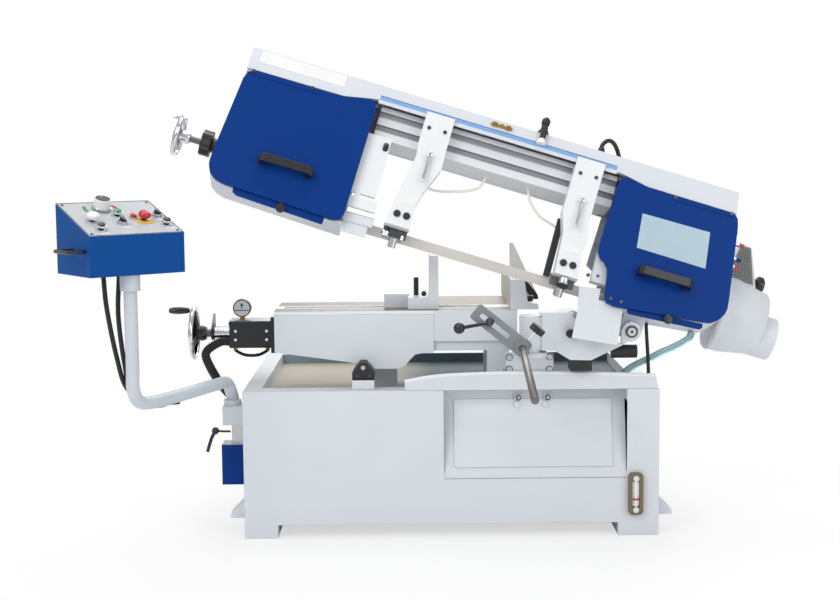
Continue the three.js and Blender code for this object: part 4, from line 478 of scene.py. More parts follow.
@dataclass(frozen=True)
class Clear(Finish):
    """Clear plastic hose tinted by the pale coolant in it."""

    def dress(self, skin: Skin) -> None:
        """Fills the material's nodes."""
        cloud = skin.noise(22.0, 2.0)
        skin.set("Base Color", skin.graph.blend(cloud, self.shade(0.75), self.shade(1.15)))
        skin.set("Roughness", cloud * 0.1 + 0.08)
        skin.set("Transmission Weight", 0.55)
        skin.set("IOR", 1.4)
        skin.bump(skin.noise(50.0, 1.0), 0.1, 0.001)


@dataclass(frozen=True)
class TrayFloor(Finish):
    """Rolled sheet floor of the tray, with painted shade that darkens it towards the right, under the bed."""

    def dress(self, skin: Skin) -> None:
        """Fills the material's nodes."""
        pool = skin.noise(5.0, 4.0)
        # Painted shade: right of the pedestal the floor turns dark teal grey, for the shadow of the bed and
        # bow.
        under_bed_shade = (skin.along("X") + 0.14) * 6.0 + pool * 0.3
        floor_colour = skin.graph.blend(pool, self.shade(0.78), self.tone.value)
        skin.set("Base Color", skin.graph.blend(under_bed_shade, floor_colour, Tone.COOLANT_DARK.value))
        skin.set("Specular IOR Level", 0.15)
        skin.set("Roughness", pool * 0.2 + 0.5)
        skin.bump(skin.noise(120.0, 2.0), 0.08, 0.0003)


@dataclass(frozen=True)
class TrayWall(Finish):
    """Enamel inside the tray in painted shade: darker than the cabinet's grey throughout, and darker still
    towards the right, in the shade of the bed.
    """

    def dress(self, skin: Skin) -> None:
        """Fills the material's nodes."""
        far = (skin.along("X") + 0.5) * 2.2
        cloud = skin.noise(6.0, 3.0)
        share = far + (cloud - 0.5) * 0.3
        skin.set("Base Color", skin.graph.blend(share, self.tone.value, Tone.SHADE_RIGHT.value))
        skin.set("Specular IOR Level", 0.15)
        skin.set("Roughness", cloud * 0.1 + 0.5)


@dataclass(frozen=True)
class Table(Finish):
    """Ground table top with a bright strip along the vise slot."""

    middle: float = 0.0
    half: float = 0.03

    def dress(self, skin: Skin) -> None:
        """Fills the material's nodes."""
        across = skin.along("Y") - self.middle
        strip = across * across < self.half ** 2
        streak = skin.noise(14.0, 3.0, (1.0, 12.0, 12.0))
        worn = skin.graph.blend(streak, self.shade(0.84), self.tone.value)
        skin.set("Base Color", skin.graph.blend(strip, worn, Tone.PALE.value))
        skin.set("Metallic", 0.1)
        skin.set("Roughness", streak * 0.12 + 0.38)


GREY = Paint("grey_enamel", Tone.GREY)
PALE = Paint("white_enamel", Tone.PALE, 0.36)
BLUE = Paint("blue_enamel", Tone.BLUE, 0.42, 0.0, 0.0, 0.12)
PANEL_BLUE = Paint("pendant_blue", Tone.PANEL_BLUE, 0.42, 0.0, 0.0, 0.12)
PIPE = Paint("pipe_enamel", Tone.PIPE, 0.38, 0.1, 0.0)
PANEL_GREY = Paint("panel_sheet", Tone.PANEL, 0.4, 0.0, 0.0, 0.3)
NOTICE = Moulded("bare_notice_plate", Tone.NOTICE, 0.36, 0.04)
# Painted light: a lit, lighter blue for the lip strip.
LIT_BLUE = Paint("blue_edge_strip", Tone.LIT_BLUE, 0.3, 0.1, 0.0)
CREAM = Paint("cream_enamel", Tone.CREAM, 0.45, 0.0, 0.0)
PLATE = Moulded("bare_plate", Tone.WHITE, 0.32, 0.04)
TRAY = TrayFloor("tray_floor", Tone.BEIGE)
# Painted shade on the tray's back wall.
SHADED_WALL = TrayWall("tray_wall", Tone.SHADE_LEFT)
STEEL = Ground("ground_steel", Tone.STEEL, (1.0, 12.0, 12.0), 0.3, 0.75)
BEAM = Ground("beam_steel", Tone.PALE, (0.4, 3.0, 3.0), 0.4, 0.1, 17.0, 0.0)
# Painted shade: the faces inside the beam's grooves are a darker grey for the shadow in them.
GROOVE = Ground("groove_steel", Tone.GROOVE, (0.4, 3.0, 3.0), 0.5, 0.1, 17.0, 0.0)
BAND = Ground("band_steel", Tone.BAND, (0.4, 3.0, 3.0), 0.36, 0.2, 17.0, 0.0)
JAW = Ground("jaw_steel", Tone.JAW, (1.0, 6.0, 6.0), 0.4, 0.1)
IRON = Cast("grey_iron", Tone.IRON)
HEAD = Cast("head_iron", Tone.HEAD)
MESH = Moulded("mesh_sheet", Tone.MESH, 0.5, 0.1)
DARK = Ground("dark_steel", Tone.DARK_STEEL, (20.0, 20.0, 20.0), 0.4, 0.8)
CHROME = Polished("chrome_plate", Tone.CHROME)
BRASS = Polished("brass", Tone.BRASS, 0.24)
BRONZE = Polished("bronze", Tone.BRONZE, 0.3)
BOLT = Polished("bolt_steel", Tone.DARK_STEEL, 0.3)
BLACK = Moulded("black_plastic", Tone.BLACK, 0.34, 0.12, 0.2)
RUBBER = Moulded("black_rubber", Tone.BLACK, 0.55, 0.3)
CAST = Cast("black_casting", Tone.BLACK)
RED = Moulded("red_plastic", Tone.RED, 0.28, 0.05, 0.4)
GREEN = Moulded("green_plastic", Tone.GREEN, 0.28, 0.05, 0.4)
YELLOW = Moulded("yellow_plastic", Tone.YELLOW, 0.35, 0.05, 0.2)
WHITE = Moulded("white_plastic", Tone.WHITE, 0.28, 0.04, 0.3)
SILVER = Polished("satin_metal", Tone.SILVER, 0.3)
COOLANT = Clear("coolant_hose", Tone.COOLANT)


# Places: each turns its own millimetres into the frame's metres
CABINET_LOW, CABINET_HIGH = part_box("base_cabinet")
MILLI = Matrix.Diagonal((METRES, METRES, METRES, 1.0))
ORIGIN = Matrix.Translation(((CABINET_LOW.x + CABINET_HIGH.x) / 2, CABINET_LOW.y, CABINET_LOW.z))


def at(x: float, y: float, z: float) -> Matrix:
    """Returns a shift in millimetres."""
    return Matrix.Translation((x, y, z))


def turned(degrees: float, axis: str) -> Matrix:
    """Returns a turn about a named axis."""
    return Matrix.Rotation(math.radians(degrees), 4, axis)


MACHINE = ORIGIN @ MILLI
TABLE = Table("table_steel", Tone.TAN, (MACHINE @ Vector((0, 190, 0))).y)
ARM = MACHINE @ at(212, 5, 0)
LIFT = ARM @ at(267, 0, 560) @ turned(17, "Y")
BOW = LIFT @ at(0, 0, 60) @ turned(-20, "X")
STOP_WAY = Vector((-math.sin(math.radians(1.8)), -1, -math.sin(math.radians(2.5)))).normalized()
STOP_ROOT = ARM @ at(-26, -42.3, 529) @ Vector(FRONT).rotation_difference(STOP_WAY).to_matrix().to_4x4()
STOP = STOP_ROOT @ at(0, -42, 0)
BOX = MACHINE @ at(-795, -280, 746) @ turned(38, "Z")
PANEL_SLOPE = math.degrees(math.atan2(74, 185))
PANEL = BOX @ at(8, -32.5, 100) @ turned(PANEL_SLOPE, "X")


class Shape:
    """Mesh under construction in the millimetres of one place."""

    def __init__(self, place: Matrix) -> None:
        """Starts an empty mesh at a place."""
        self.bm = bmesh.new()
        self.place = place
        self.finishes: list[Finish] = []
        self.index = 0

    def dress(self, finish: Finish) -> "Shape":
        """Chooses the finish of what is added next."""
        if finish not in self.finishes:
            self.finishes.append(finish)
        self.index = self.finishes.index(finish)
        return self

    def _face(self, corners: Sequence[bmesh.types.BMVert]) -> None:
        """Adds a face with the finish in hand."""
        self.bm.faces.new(corners).material_index = self.index

    def _rings(self, rings: Sequence[Sequence[Vector]], closed: bool, caps: bool) -> None:
        """Joins rings of points into a skin.

        Args:
            rings: Rings with the same number of points.
            closed: Whether the last ring meets the first.
            caps: Whether both ends are closed by a face.
        """
        made = [[self.bm.verts.new(p) for p in ring] for ring in rings]
        count = len(made[0])
        for k in range(len(made) if closed else len(made) - 1):
            here, there = made[k], made[(k + 1) % len(made)]
            for i in range(count):
                j = (i + 1) % count
                self._face((here[i], here[j], there[j], there[i]))
        if caps and not closed:
            self._face(list(reversed(made[0])))
            self._face(made[-1])

    def block(self, low: Point, high: Point) -> "Shape":
        """Adds a box between two corners."""
        (x0, y0, z0), (x1, y1, z1) = low, high
        rings = [
            [Vector((x0, y0, z)), Vector((x1, y0, z)), Vector((x1, y1, z)), Vector((x0, y1, z))]
            for z in (z0, z1)
        ]
        self._rings(rings, False, True)
        return self

    def prism(self, points: Sequence[Flat], low: float, high: float, axis: Axis = Axis.Y) -> "Shape":
        """Carries a flat outline along an axis.

        Args:
            points: Outline on the two other axes, in X, Y, Z order.
            low: Start along the axis.
            high: End along the axis.
            axis: Axis of the carry.

        Returns:
            The shape itself.
        """

        def spot(point: Flat, depth: float) -> Vector:
            """Returns a corner of the prism."""
            values = list(point)
            values.insert(axis.value, depth)
            return Vector(values)

        self._rings([[spot(p, d) for p in points] for d in (low, high)], False, True)
        return self

    def lathe(self, profile: Sequence[Flat], centre: Point, way: Point, sides: int = 40) -> "Shape":
        """Turns a profile about an axis.

        Args:
            profile: Radius and distance along the axis, point by point, closed by a cap at each open end.
            centre: Start of the axis.
            way: Direction of the axis.
            sides: Number of facets.

        Returns:
            The shape itself.
        """
        turn = Vector(UP).rotation_difference(Vector(way)).to_matrix()
        start = Vector(centre)
        rings = []
        for reach, along in profile:
            radius = max(reach, POLE_RADIUS)
            ring = []
            for i in range(sides):
                angle = 2 * math.pi * i / sides
                spot = Vector((radius * math.cos(angle), radius * math.sin(angle), along))
                ring.append(start + turn @ spot)
            rings.append(ring)
        self._rings(rings, False, profile[0] != profile[-1])
        return self

    def rod(
        self, start: Point, end: Point, radius: float, tip: Optional[float] = None, sides: int = 32,
    ) -> "Shape":
        """Adds a round bar with softened ends.

        Args:
            start: Middle of one end.
            end: Middle of the other end.
            radius: Radius at the start.
            tip: Radius at the end, the same where left out.
            sides: Number of facets.

        Returns:
            The shape itself.
        """
        way = Vector(end) - Vector(start)
        last = radius if tip is None else tip
        soft = min(radius, last, way.length) * 0.12
        profile = [
            (radius - soft, 0.0), (radius, soft), (last, way.length - soft), (last - soft, way.length),
        ]
        return self.lathe(profile, start, tuple(way), sides)

    def disc(self, profile: Sequence[Flat], x: float, y: float, sides: int) -> "Shape":
        """Turns a profile about the upright axis through a spot of the place.

        Args:
            profile: Radius and height, point by point.
            x: Place of the axis.
            y: Place of the axis.
            sides: Number of facets.

        Returns:
            The shape itself.
        """
        return self.lathe(profile, (x, y, 0), UP, sides)

    def ball(self, centre: Point, radius: float, sides: int = 32) -> "Shape":
        """Adds a ball."""
        steps = sides // 2
        profile = [
            (radius * math.sin(math.pi * k / steps), -radius * math.cos(math.pi * k / steps))
            for k in range(steps + 1)
        ]
        return self.lathe(profile, centre, UP, sides)

    def hoop(self, centre: Point, way: Point, radius: float, thick: float, sides: int = 72) -> "Shape":
        """Adds a round ring.

        Args:
            centre: Middle of the ring.
            way: Axis of the ring.
            radius: Radius of the middle line.
            thick: Radius of the section.
            sides: Number of facets round the ring.

        Returns:
            The shape itself.
        """
        section = [
            (radius + thick * math.cos(a), thick * math.sin(a))
            for a in (2 * math.pi * k / 16 for k in range(17))
        ]
        return self.lathe(section, centre, way, sides)

    def tube(self, points: Sequence[Point], radius: float, sides: int = 20, steps: int = 8) -> "Shape":
        """Sweeps a round section along a smooth line through points.

        Args:
            points: Points on the line.
            radius: Radius of the section.
            sides: Number of facets.
            steps: Steps between two points.

        Returns:
            The shape itself.
        """
        line = smooth_line(points, steps)
        rings = []
        side = None
        for i, here in enumerate(line):
            ahead = line[min(i + 1, len(line) - 1)]
            behind = line[max(i - 1, 0)]
            way = (ahead - behind).normalized()
            if side is None:
                side = way.orthogonal().normalized()
            side = (side - way * side.dot(way)).normalized()
            other = way.cross(side)
            rings.append([
                here + side * radius * math.cos(2 * math.pi * k / sides)
                + other * radius * math.sin(2 * math.pi * k / sides)
                for k in range(sides)
            ])
        self._rings(rings, False, True)
        return self

    def borrow(self, node: str, choose: Callable[[Vector, Vector], Finish]) -> "Shape":
        """Takes over the faces of a node, joined into broad flat faces.

        Args:
            node: Name of the node.
            choose: Gives each face's finish from its middle and normal in this place's millimetres.

        Returns:
            The shape itself.
        """
        copy = bmesh.new()
        copy.from_mesh(NODES[node].data)
        bmesh.ops.transform(copy, matrix=self.place.inverted(), verts=copy.verts)
        bmesh.ops.remove_doubles(copy, verts=copy.verts, dist=MERGE_GAP)
        bmesh.ops.recalc_face_normals(copy, faces=copy.faces)
        for face in copy.faces:
            self.dress(choose(face.calc_center_median(), face.normal))
            face.material_index = self.index
        bmesh.ops.dissolve_limit(
            copy, angle_limit=math.radians(1), verts=copy.verts, edges=copy.edges, delimit={"MATERIAL"},
        )
        mesh = bpy.data.meshes.new("borrowed")
        copy.to_mesh(mesh)
        copy.free()
        self.bm.from_mesh(mesh)
        bpy.data.meshes.remove(mesh)
        return self

    def piece(self, name: str) -> bpy.types.Object:
        """Turns the shape into a smooth object in the frame's metres and lets go of the mesh in hand."""
        mesh = bpy.data.meshes.new(name)
        bmesh.ops.transform(self.bm, matrix=self.place, verts=self.bm.verts)
        bmesh.ops.recalc_face_normals(self.bm, faces=self.bm.faces)
        self.bm.to_mesh(mesh)
        self.bm.free()
        for finish in self.finishes:
            mesh.materials.append(finish.material())
        mesh.shade_smooth()
        return put(name, mesh)

    def finish(
        self, name: str, body: str, bevel: float = 0.0, angle: float = SHARP_ANGLE,
        stands_for: Sequence[str] = (),
    ) -> bpy.types.Object:
        """Turns the shape into a piece of the machine.

        Args:
            name: Name of the piece.
            body: Body on which it rides.
            bevel: Width of its softened edges in millimetres.
            angle: Angle in degrees over which an edge stays sharp.
            stands_for: Nodes that the piece replaces.

        Returns:
            The finished object.
        """
        piece = self.piece(name)
        if bevel > 0.0:
            soften(piece, bevel)
        else:
            piece.data.set_sharp_from_angle(angle=math.radians(angle))
        return settle(piece, body, stands_for)


def put(name: str, data: bpy.types.ID) -> bpy.types.Object:
    """Puts a mesh, camera or lamp into the scene."""
    item = bpy.data.objects.new(name, data)
    bpy.context.scene.collection.objects.link(item)
    return item


def soften(piece: bpy.types.Object, width: float) -> None:
    """Rounds a piece's sharp edges.

    Args:
        piece: Object to soften.
        width: Width of the rounding in millimetres.
    """
    bevel = piece.modifiers.new("edge", "BEVEL")
    bevel.width = width * METRES
    bevel.segments = BEVEL_STEPS
    bevel.limit_method = "ANGLE"
    bevel.angle_limit = math.radians(BEVEL_ANGLE)
    bevel.use_clamp_overlap = True
    weighted = piece.modifiers.new("normals", "WEIGHTED_NORMAL")
    weighted.weight = 60
    weighted.keep_sharp = True
    apply_modifiers(piece)


def apply_modifiers(piece: bpy.types.Object) -> None:
    """Makes the evaluated shape a piece's own mesh."""
    evaluated = piece.evaluated_get(bpy.context.evaluated_depsgraph_get())
    made = bpy.data.meshes.new_from_object(evaluated)
    piece.modifiers.clear()
    old = piece.data
    piece.data = made
    bpy.data.meshes.remove(old)
    made.name = piece.name


def settle(piece: bpy.types.Object, body: str, stands_for: Sequence[str] = ()) -> bpy.types.Object:
    """Puts a piece on its body and reports it.

    Args:
        piece: Finished object.
        body: Body on which it rides.
        stands_for: Nodes that it replaces.

    Returns:
        The object.
    """
    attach(piece, body)
    if stands_for:
        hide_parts(*stands_for)
    LOG.info("%s rides on %s, %d faces", piece.name, body, len(piece.data.polygons))
    return piece


def smooth_line(points: Sequence[Point], steps: int) -> list[Vector]:
    """Returns a smooth line through points.

    Args:
        points: Points on the line.
        steps: Steps between two points.

    Returns:
        Points along the line.
    """
    spots = [Vector(p) for p in points]
    spots = [spots[0] * 2 - spots[1], *spots, spots[-1] * 2 - spots[-2]]
    line = []
    for k in range(1, len(spots) - 2):
        a, b, c, d = spots[k - 1:k + 3]
        square, cube = a * 2 - b * 5 + c * 4 - d, b * 3 - a - c * 3 + d
        for i in range(steps):
            t = i / steps
            line.append((b * 2 + (c - a) * t + square * t ** 2 + cube * t ** 3) / 2)
    line.append(spots[-2])
    return line


def lobed(centre: Flat, radius: float, swell: float, lobes: int, count: int) -> list[Flat]:
    """Returns the outline of a round grip with lobes.

    Args:
        centre: Middle of the outline.
        radius: Mean radius.
        swell: How far a lobe stands out.
        lobes: Number of lobes.
        count: Number of points.

    Returns:
        Points round the outline.
    """
    points = []
    for k in range(count):
        angle = 2 * math.pi * k / count
        reach = radius + swell * math.cos(lobes * angle)
        points.append((centre[0] + reach * math.cos(angle), centre[1] + reach * math.sin(angle)))
    return points


def spokes(middle: Point, radius: float, count: int = 3) -> list[Point]:
    """Returns evenly spread spots on an upright circle that faces along X, the first one at its top."""
    x, y, z = middle
    angles = [math.pi / 2 + k * 2 * math.pi / count for k in range(count)]
    return [(x, y + radius * math.cos(angle), z + radius * math.sin(angle)) for angle in angles]


def body_of(node: str) -> str:
    """Returns the name of the body on which a node rides."""
    return NODES[node].parent.name.split(":")[1]


def clad(
    node: str, place: Matrix, finish: Union[Finish, Callable[[Vector, Vector], Finish]], bevel: float = 1.0,
) -> bpy.types.Object:
    """Dresses a node's own shape with softened edges.

    Args:
        node: Name of the node.
        place: Place whose millimetres the choice of finish reads.
        finish: One finish, or a choice by a face's middle and normal.
        bevel: Width of the softened edges in millimetres.

    Returns:
        The dressed piece.
    """
    choose = (lambda middle, normal: finish) if isinstance(finish, Finish) else finish
    shape = Shape(place).borrow(node, choose)
    return shape.finish(f"{node}_dressed", body_of(node), bevel, stands_for=[node])


class Pattern:
    """Geometry tree that sets a small shape on the points of a carrier mesh."""

    def __init__(self, name: str, inputs: Sequence[tuple[str, str]]) -> None:
        """Builds the tree with named inputs.

        Args:
            name: Name of the tree.
            inputs: Name and socket type of each input after the geometry.
        """
        self.tree = bpy.data.node_groups.new(name, "GeometryNodeTree")
        self.graph = Graph(self.tree)
        face = self.tree.interface
        face.new_socket("Geometry", in_out="INPUT", socket_type="NodeSocketGeometry")
        self.keys = {
            label: face.new_socket(label, in_out="INPUT", socket_type=kind).identifier
            for label, kind in inputs
        }
        face.new_socket("Geometry", in_out="OUTPUT", socket_type="NodeSocketGeometry")
        self.entry = self.graph.node("NodeGroupInput")

    def read(self, label: str) -> bpy.types.NodeSocket:
        """Returns the socket that brings in a named input."""
        return self.graph.socket(self.entry.outputs, self.keys[label])

    def scatter(self, points: object, shape: object, axis: str) -> bpy.types.NodeSocket:
        """Sets a shape on points, with one of its axes along each point's way.

        Args:
            points: Socket of the points.
            shape: Socket of the shape.
            axis: Axis of the shape that follows the way.

        Returns:
            The socket of the copies.
        """
        graph = self.graph
        kind = {"data_type": "FLOAT_VECTOR"}
        way = graph.node("GeometryNodeInputNamedAttribute", kind, {"Name": "way"})
        turn = graph.node("FunctionNodeAlignRotationToVector", {"axis": axis}, {"Vector": way.outputs[0]})
        copies = graph.node("GeometryNodeInstanceOnPoints", None, {
            "Points": points, "Instance": shape, "Rotation": turn.outputs[0],
        })
        return copies.outputs[0]

    def close(self, geometry: bpy.types.NodeSocket) -> None:
        """Realises the copies, gives them the finish and ends the tree."""
        real = self.graph.node("GeometryNodeRealizeInstances", None, {"Geometry": geometry})
        dressed = self.graph.node(
            "GeometryNodeSetMaterial", None, {"Geometry": real.outputs[0], "Material": self.read("Finish")},
        )
        self.graph.node("NodeGroupOutput", None, {"Geometry": dressed.outputs[0]})

    def apply(
        self, name: str, body: str, carrier: bpy.types.Mesh, values: dict, stands_for: Sequence[str] = (),
    ) -> bpy.types.Object:
        """Runs the tree on a carrier and keeps the result as a plain mesh.

        Args:
            name: Name of the piece.
            body: Body on which it rides.
            carrier: Mesh whose points or edges carry the copies.
            values: Values of the named inputs.
            stands_for: Nodes that the piece replaces.

        Returns:
            The finished piece.
        """
        piece = put(name, carrier)
        modifier = piece.modifiers.new("pattern", "NODES")
        modifier.node_group = self.tree
        for label, value in values.items():
            modifier[self.keys[label]] = value
        apply_modifiers(piece)
        piece.data.set_sharp_from_angle(angle=math.radians(SHARP_ANGLE))
        return settle(piece, body, stands_for)


def points_mesh(
    name: str, place: Matrix, spots: Sequence[tuple[Point, Point]], joined: bool = False,
) -> bpy.types.Mesh:
    """Makes a carrier mesh of points with a direction each.

    Args:
        name: Name of the mesh.
        place: Place of the points.
        spots: Place and direction of each point.
        joined: Whether an edge joins each point to the next.

    Returns:
        The carrier.
    """
    mesh = bpy.data.meshes.new(name)
    edges = [(i, i + 1) for i in range(len(spots) - 1)] if joined else []
    mesh.from_pydata([place @ Vector(spot) for spot, _ in spots], edges, [])
    ways = mesh.attributes.new("way", "FLOAT_VECTOR", "POINT")
    turn = place.to_3x3()
    for i, (_, way) in enumerate(spots):
        ways.data[i].vector = (turn @ Vector(way)).normalized()
    return mesh


class ScrewPattern(Pattern):
    """Socket head screws: a round head with a six-sided shape just proud of its top, all in the screws' one
    finish.
    """

    def __init__(self) -> None:
        """Builds the tree."""
        super().__init__("screws", [
            ("Head radius", "NodeSocketFloat"), ("Head height", "NodeSocketFloat"),
            ("Finish", "NodeSocketMaterial"),
        ])
        graph = self.graph
        radius = Value(graph, self.read("Head radius"))
        height = Value(graph, self.read("Head height"))
        head = graph.node(
            "GeometryNodeMeshCylinder", None, {"Vertices": 18, "Radius": radius, "Depth": height},
        )
        ring = graph.node(
            "GeometryNodeMeshCylinder", None, {"Vertices": 6, "Radius": radius * 0.5, "Depth": height * 0.2},
        )
        lift = graph.node("ShaderNodeCombineXYZ", None, {2: height * 0.45})
        raised = graph.node(
            "GeometryNodeTransform", None, {"Geometry": ring.outputs[0], "Translation": lift.outputs[0]},
        )
        joined = graph.node("GeometryNodeJoinGeometry")
        self.tree.links.new(raised.outputs[0], joined.inputs[0])
        self.tree.links.new(head.outputs[0], joined.inputs[0])
        self.close(self.scatter(self.entry.outputs[0], joined.outputs[0], "Z"))


class TickPattern(Pattern):
    """Fine marks, each a thin block that lies on its point."""

    def __init__(self) -> None:
        """Builds the tree."""
        super().__init__("ticks", [("Size", "NodeSocketVector"), ("Finish", "NodeSocketMaterial")])
        block = self.graph.node("GeometryNodeMeshCube", None, {"Size": self.read("Size")})
        self.close(self.scatter(self.entry.outputs[0], block.outputs[0], "X"))


class HolePattern(Pattern):
    """Round perforations, each a thin dark disc on the sheet that paints the shade seen through the hole."""

    thickness: float = 0.0006

    def __init__(self) -> None:
        """Builds the tree."""
        super().__init__("holes", [("Hole radius", "NodeSocketFloat"), ("Finish", "NodeSocketMaterial")])
        disc = self.graph.node("GeometryNodeMeshCylinder", None, {
            "Vertices": 10, "Radius": self.read("Hole radius"), "Depth": self.thickness,
        })
        self.close(self.scatter(self.entry.outputs[0], disc.outputs[0], "Z"))


class RibPattern(Pattern):
    """Ribbed conduit: rings at a pitch along a line, over a plain inner tube."""

    def __init__(self) -> None:
        """Builds the tree."""
        super().__init__("ribs", [
            ("Pitch", "NodeSocketFloat"), ("Rib radius", "NodeSocketFloat"),
            ("Core radius", "NodeSocketFloat"), ("Finish", "NodeSocketMaterial"),
        ])
        graph = self.graph
        line = graph.node("GeometryNodeMeshToCurve", None, {"Mesh": self.entry.outputs[0]})
        places = graph.node(
            "GeometryNodeCurveToPoints", {"mode": "LENGTH"},
            {"Curve": line.outputs[0], "Length": self.read("Pitch")},
        )
        pitch = Value(graph, self.read("Pitch"))
        ring = graph.node(
            "GeometryNodeMeshCylinder", None,
            {"Vertices": 20, "Radius": self.read("Rib radius"), "Depth": pitch * 0.5},
        )
        copies = graph.node("GeometryNodeInstanceOnPoints", None, {
            "Points": places.outputs["Points"], "Instance": ring.outputs[0],
            "Rotation": places.outputs["Rotation"],
        })
        section = graph.node(
            "GeometryNodeCurvePrimitiveCircle", None, {"Resolution": 20, "Radius": self.read("Core radius")},
        )
        core = graph.node("GeometryNodeCurveToMesh", None, {
            "Curve": line.outputs[0], "Profile Curve": section.outputs[0], "Fill Caps": True,
        })
        joined = graph.node("GeometryNodeJoinGeometry")
        self.tree.links.new(core.outputs[0], joined.inputs[0])
        self.tree.links.new(copies.outputs[0], joined.inputs[0])
        self.close(joined.outputs[0])


SCREWS = ScrewPattern()
TICKS = TickPattern()
HOLES = HolePattern()
RIBS = RibPattern()


def screws(
    name: str, body: str, place: Matrix, spots: Sequence[Point], way: Point, radius: float = 4.5,
    height: float = 3.0, finish: Finish = BOLT,
) -> bpy.types.Object:
    """Sets screws with one size and direction.

    Args:
        name: Name of the piece.
        body: Body on which it rides.
        place: Place of the points.
        spots: Middle of each head's height.
        way: Direction of the heads.
        radius: Radius of a head in millimetres.
        height: Height of a head in millimetres.
        finish: Finish of the screws.

    Returns:
        The finished piece.
    """
    carrier = points_mesh(name, place, [(spot, way) for spot in spots])
    return SCREWS.apply(name, body, carrier, {
        "Head radius": radius * METRES, "Head height": height * METRES, "Finish": finish.material(),
    })


@dataclass
class Cabinet:
    """Base cabinet with its chip tray, hatch, level gauge and front apron."""

    tray_floor: float = 372.0
    tray_middle: float = 300.0
    catch_spots: tuple[float, float] = (184.0, 263.0)
    catch_height: float = 369.0
    hatch_face: float = 47.6
    hatch_lean: float = -13.96
    gauge_x: float = 496.0
    gauge_bolts: tuple[float, float] = (74.0, 160.0)

    def shell(self) -> None:
        """Dresses the sheet metal and adds the apron's rolled edge."""

        def choose(middle: Vector, normal: Vector) -> Finish:
            """Returns the tray floor's finish, with its painted shade, for the floor, and the painted-shade
            wall finish for the tray's back wall.
            """
            if abs(middle.z - self.tray_floor) < 2 and normal.z > 0.9:
                return TRAY
            back = middle.y > self.tray_middle and middle.z > self.tray_floor + 1
            return SHADED_WALL if back and normal.y < -0.9 else GREY

        clad("base_cabinet", MACHINE, choose, 1.6)
        clad("hatch_panel", MACHINE, GREY, 0.8)
        clad("front_apron", MACHINE, GREY, 1.5)
        strip = Shape(MACHINE).dress(PALE)
        points = [(-124.0, 425.0), (-22.0, 440.0), (189.0, 446.0), (366.0, 443.0), (549.0, 436.0)]
        strip.tube([(x, 6.0, z) for x, z in points], 6.2, 14)
        strip.finish("apron_rolled_edge", "base")

    def catches(self) -> None:
        """Makes the two catches that hold the hatch by its upper edge, and the seam below the recess."""
        for k, x in enumerate(self.catch_spots):
            catch = Shape(MACHINE @ at(x, self.hatch_face, self.catch_height) @ turned(self.hatch_lean, "X"))
            catch.dress(GREY).prism([(-11, -3), (11, -3), (11, 9), (7, 13), (-7, 13), (-11, 9)], -5.2, 0.4)
            catch.dress(DARK).rod((0, -5, 3), (0, -6, 3), 8.2, sides=24)
            catch.dress(SILVER).rod((0, -5, 3), (0, -10.6, 3), 6.4, 5.2, 24)
            catch.finish(f"hatch_catch_{k + 1}", "hatch", 0.5)
        seam = Shape(MACHINE).dress(DARK).block((-19, -0.35, 160.2), (472, 0.2, 161.2))
        seam.finish("recess_seam", "base")

    def gauge(self) -> None:
        """Makes the level gauge."""
        clad("level_gauge", MACHINE, BRONZE, 1.0)
        tube = Shape(MACHINE)
        x = self.gauge_x
        tube.dress(PLATE).block((x - 9, -9.4, 84), (x + 9, -4.5, 150))
        tube.dress(WHITE).rod((x, -9, 82), (x, -9, 152), 5.0, sides=24)
        tube.dress(RED).block((x - 8, -14.4, 100), (x + 8, -9, 105))
        for k in range(7):
            tube.dress(DARK).block((x - 9, -9.8, 90 + k * 9), (x - 5, -9, 90.8 + k * 9))
        tube.finish("level_tube", "base")
        spots = [(x, -15.0, z) for z in self.gauge_bolts]
        screws("gauge_screws", "base", MACHINE, spots, FRONT, 8.0, 4.0, CHROME)

    def build(self) -> None:
        """Builds the cabinet."""
        self.shell()
        self.catches()
        self.gauge()


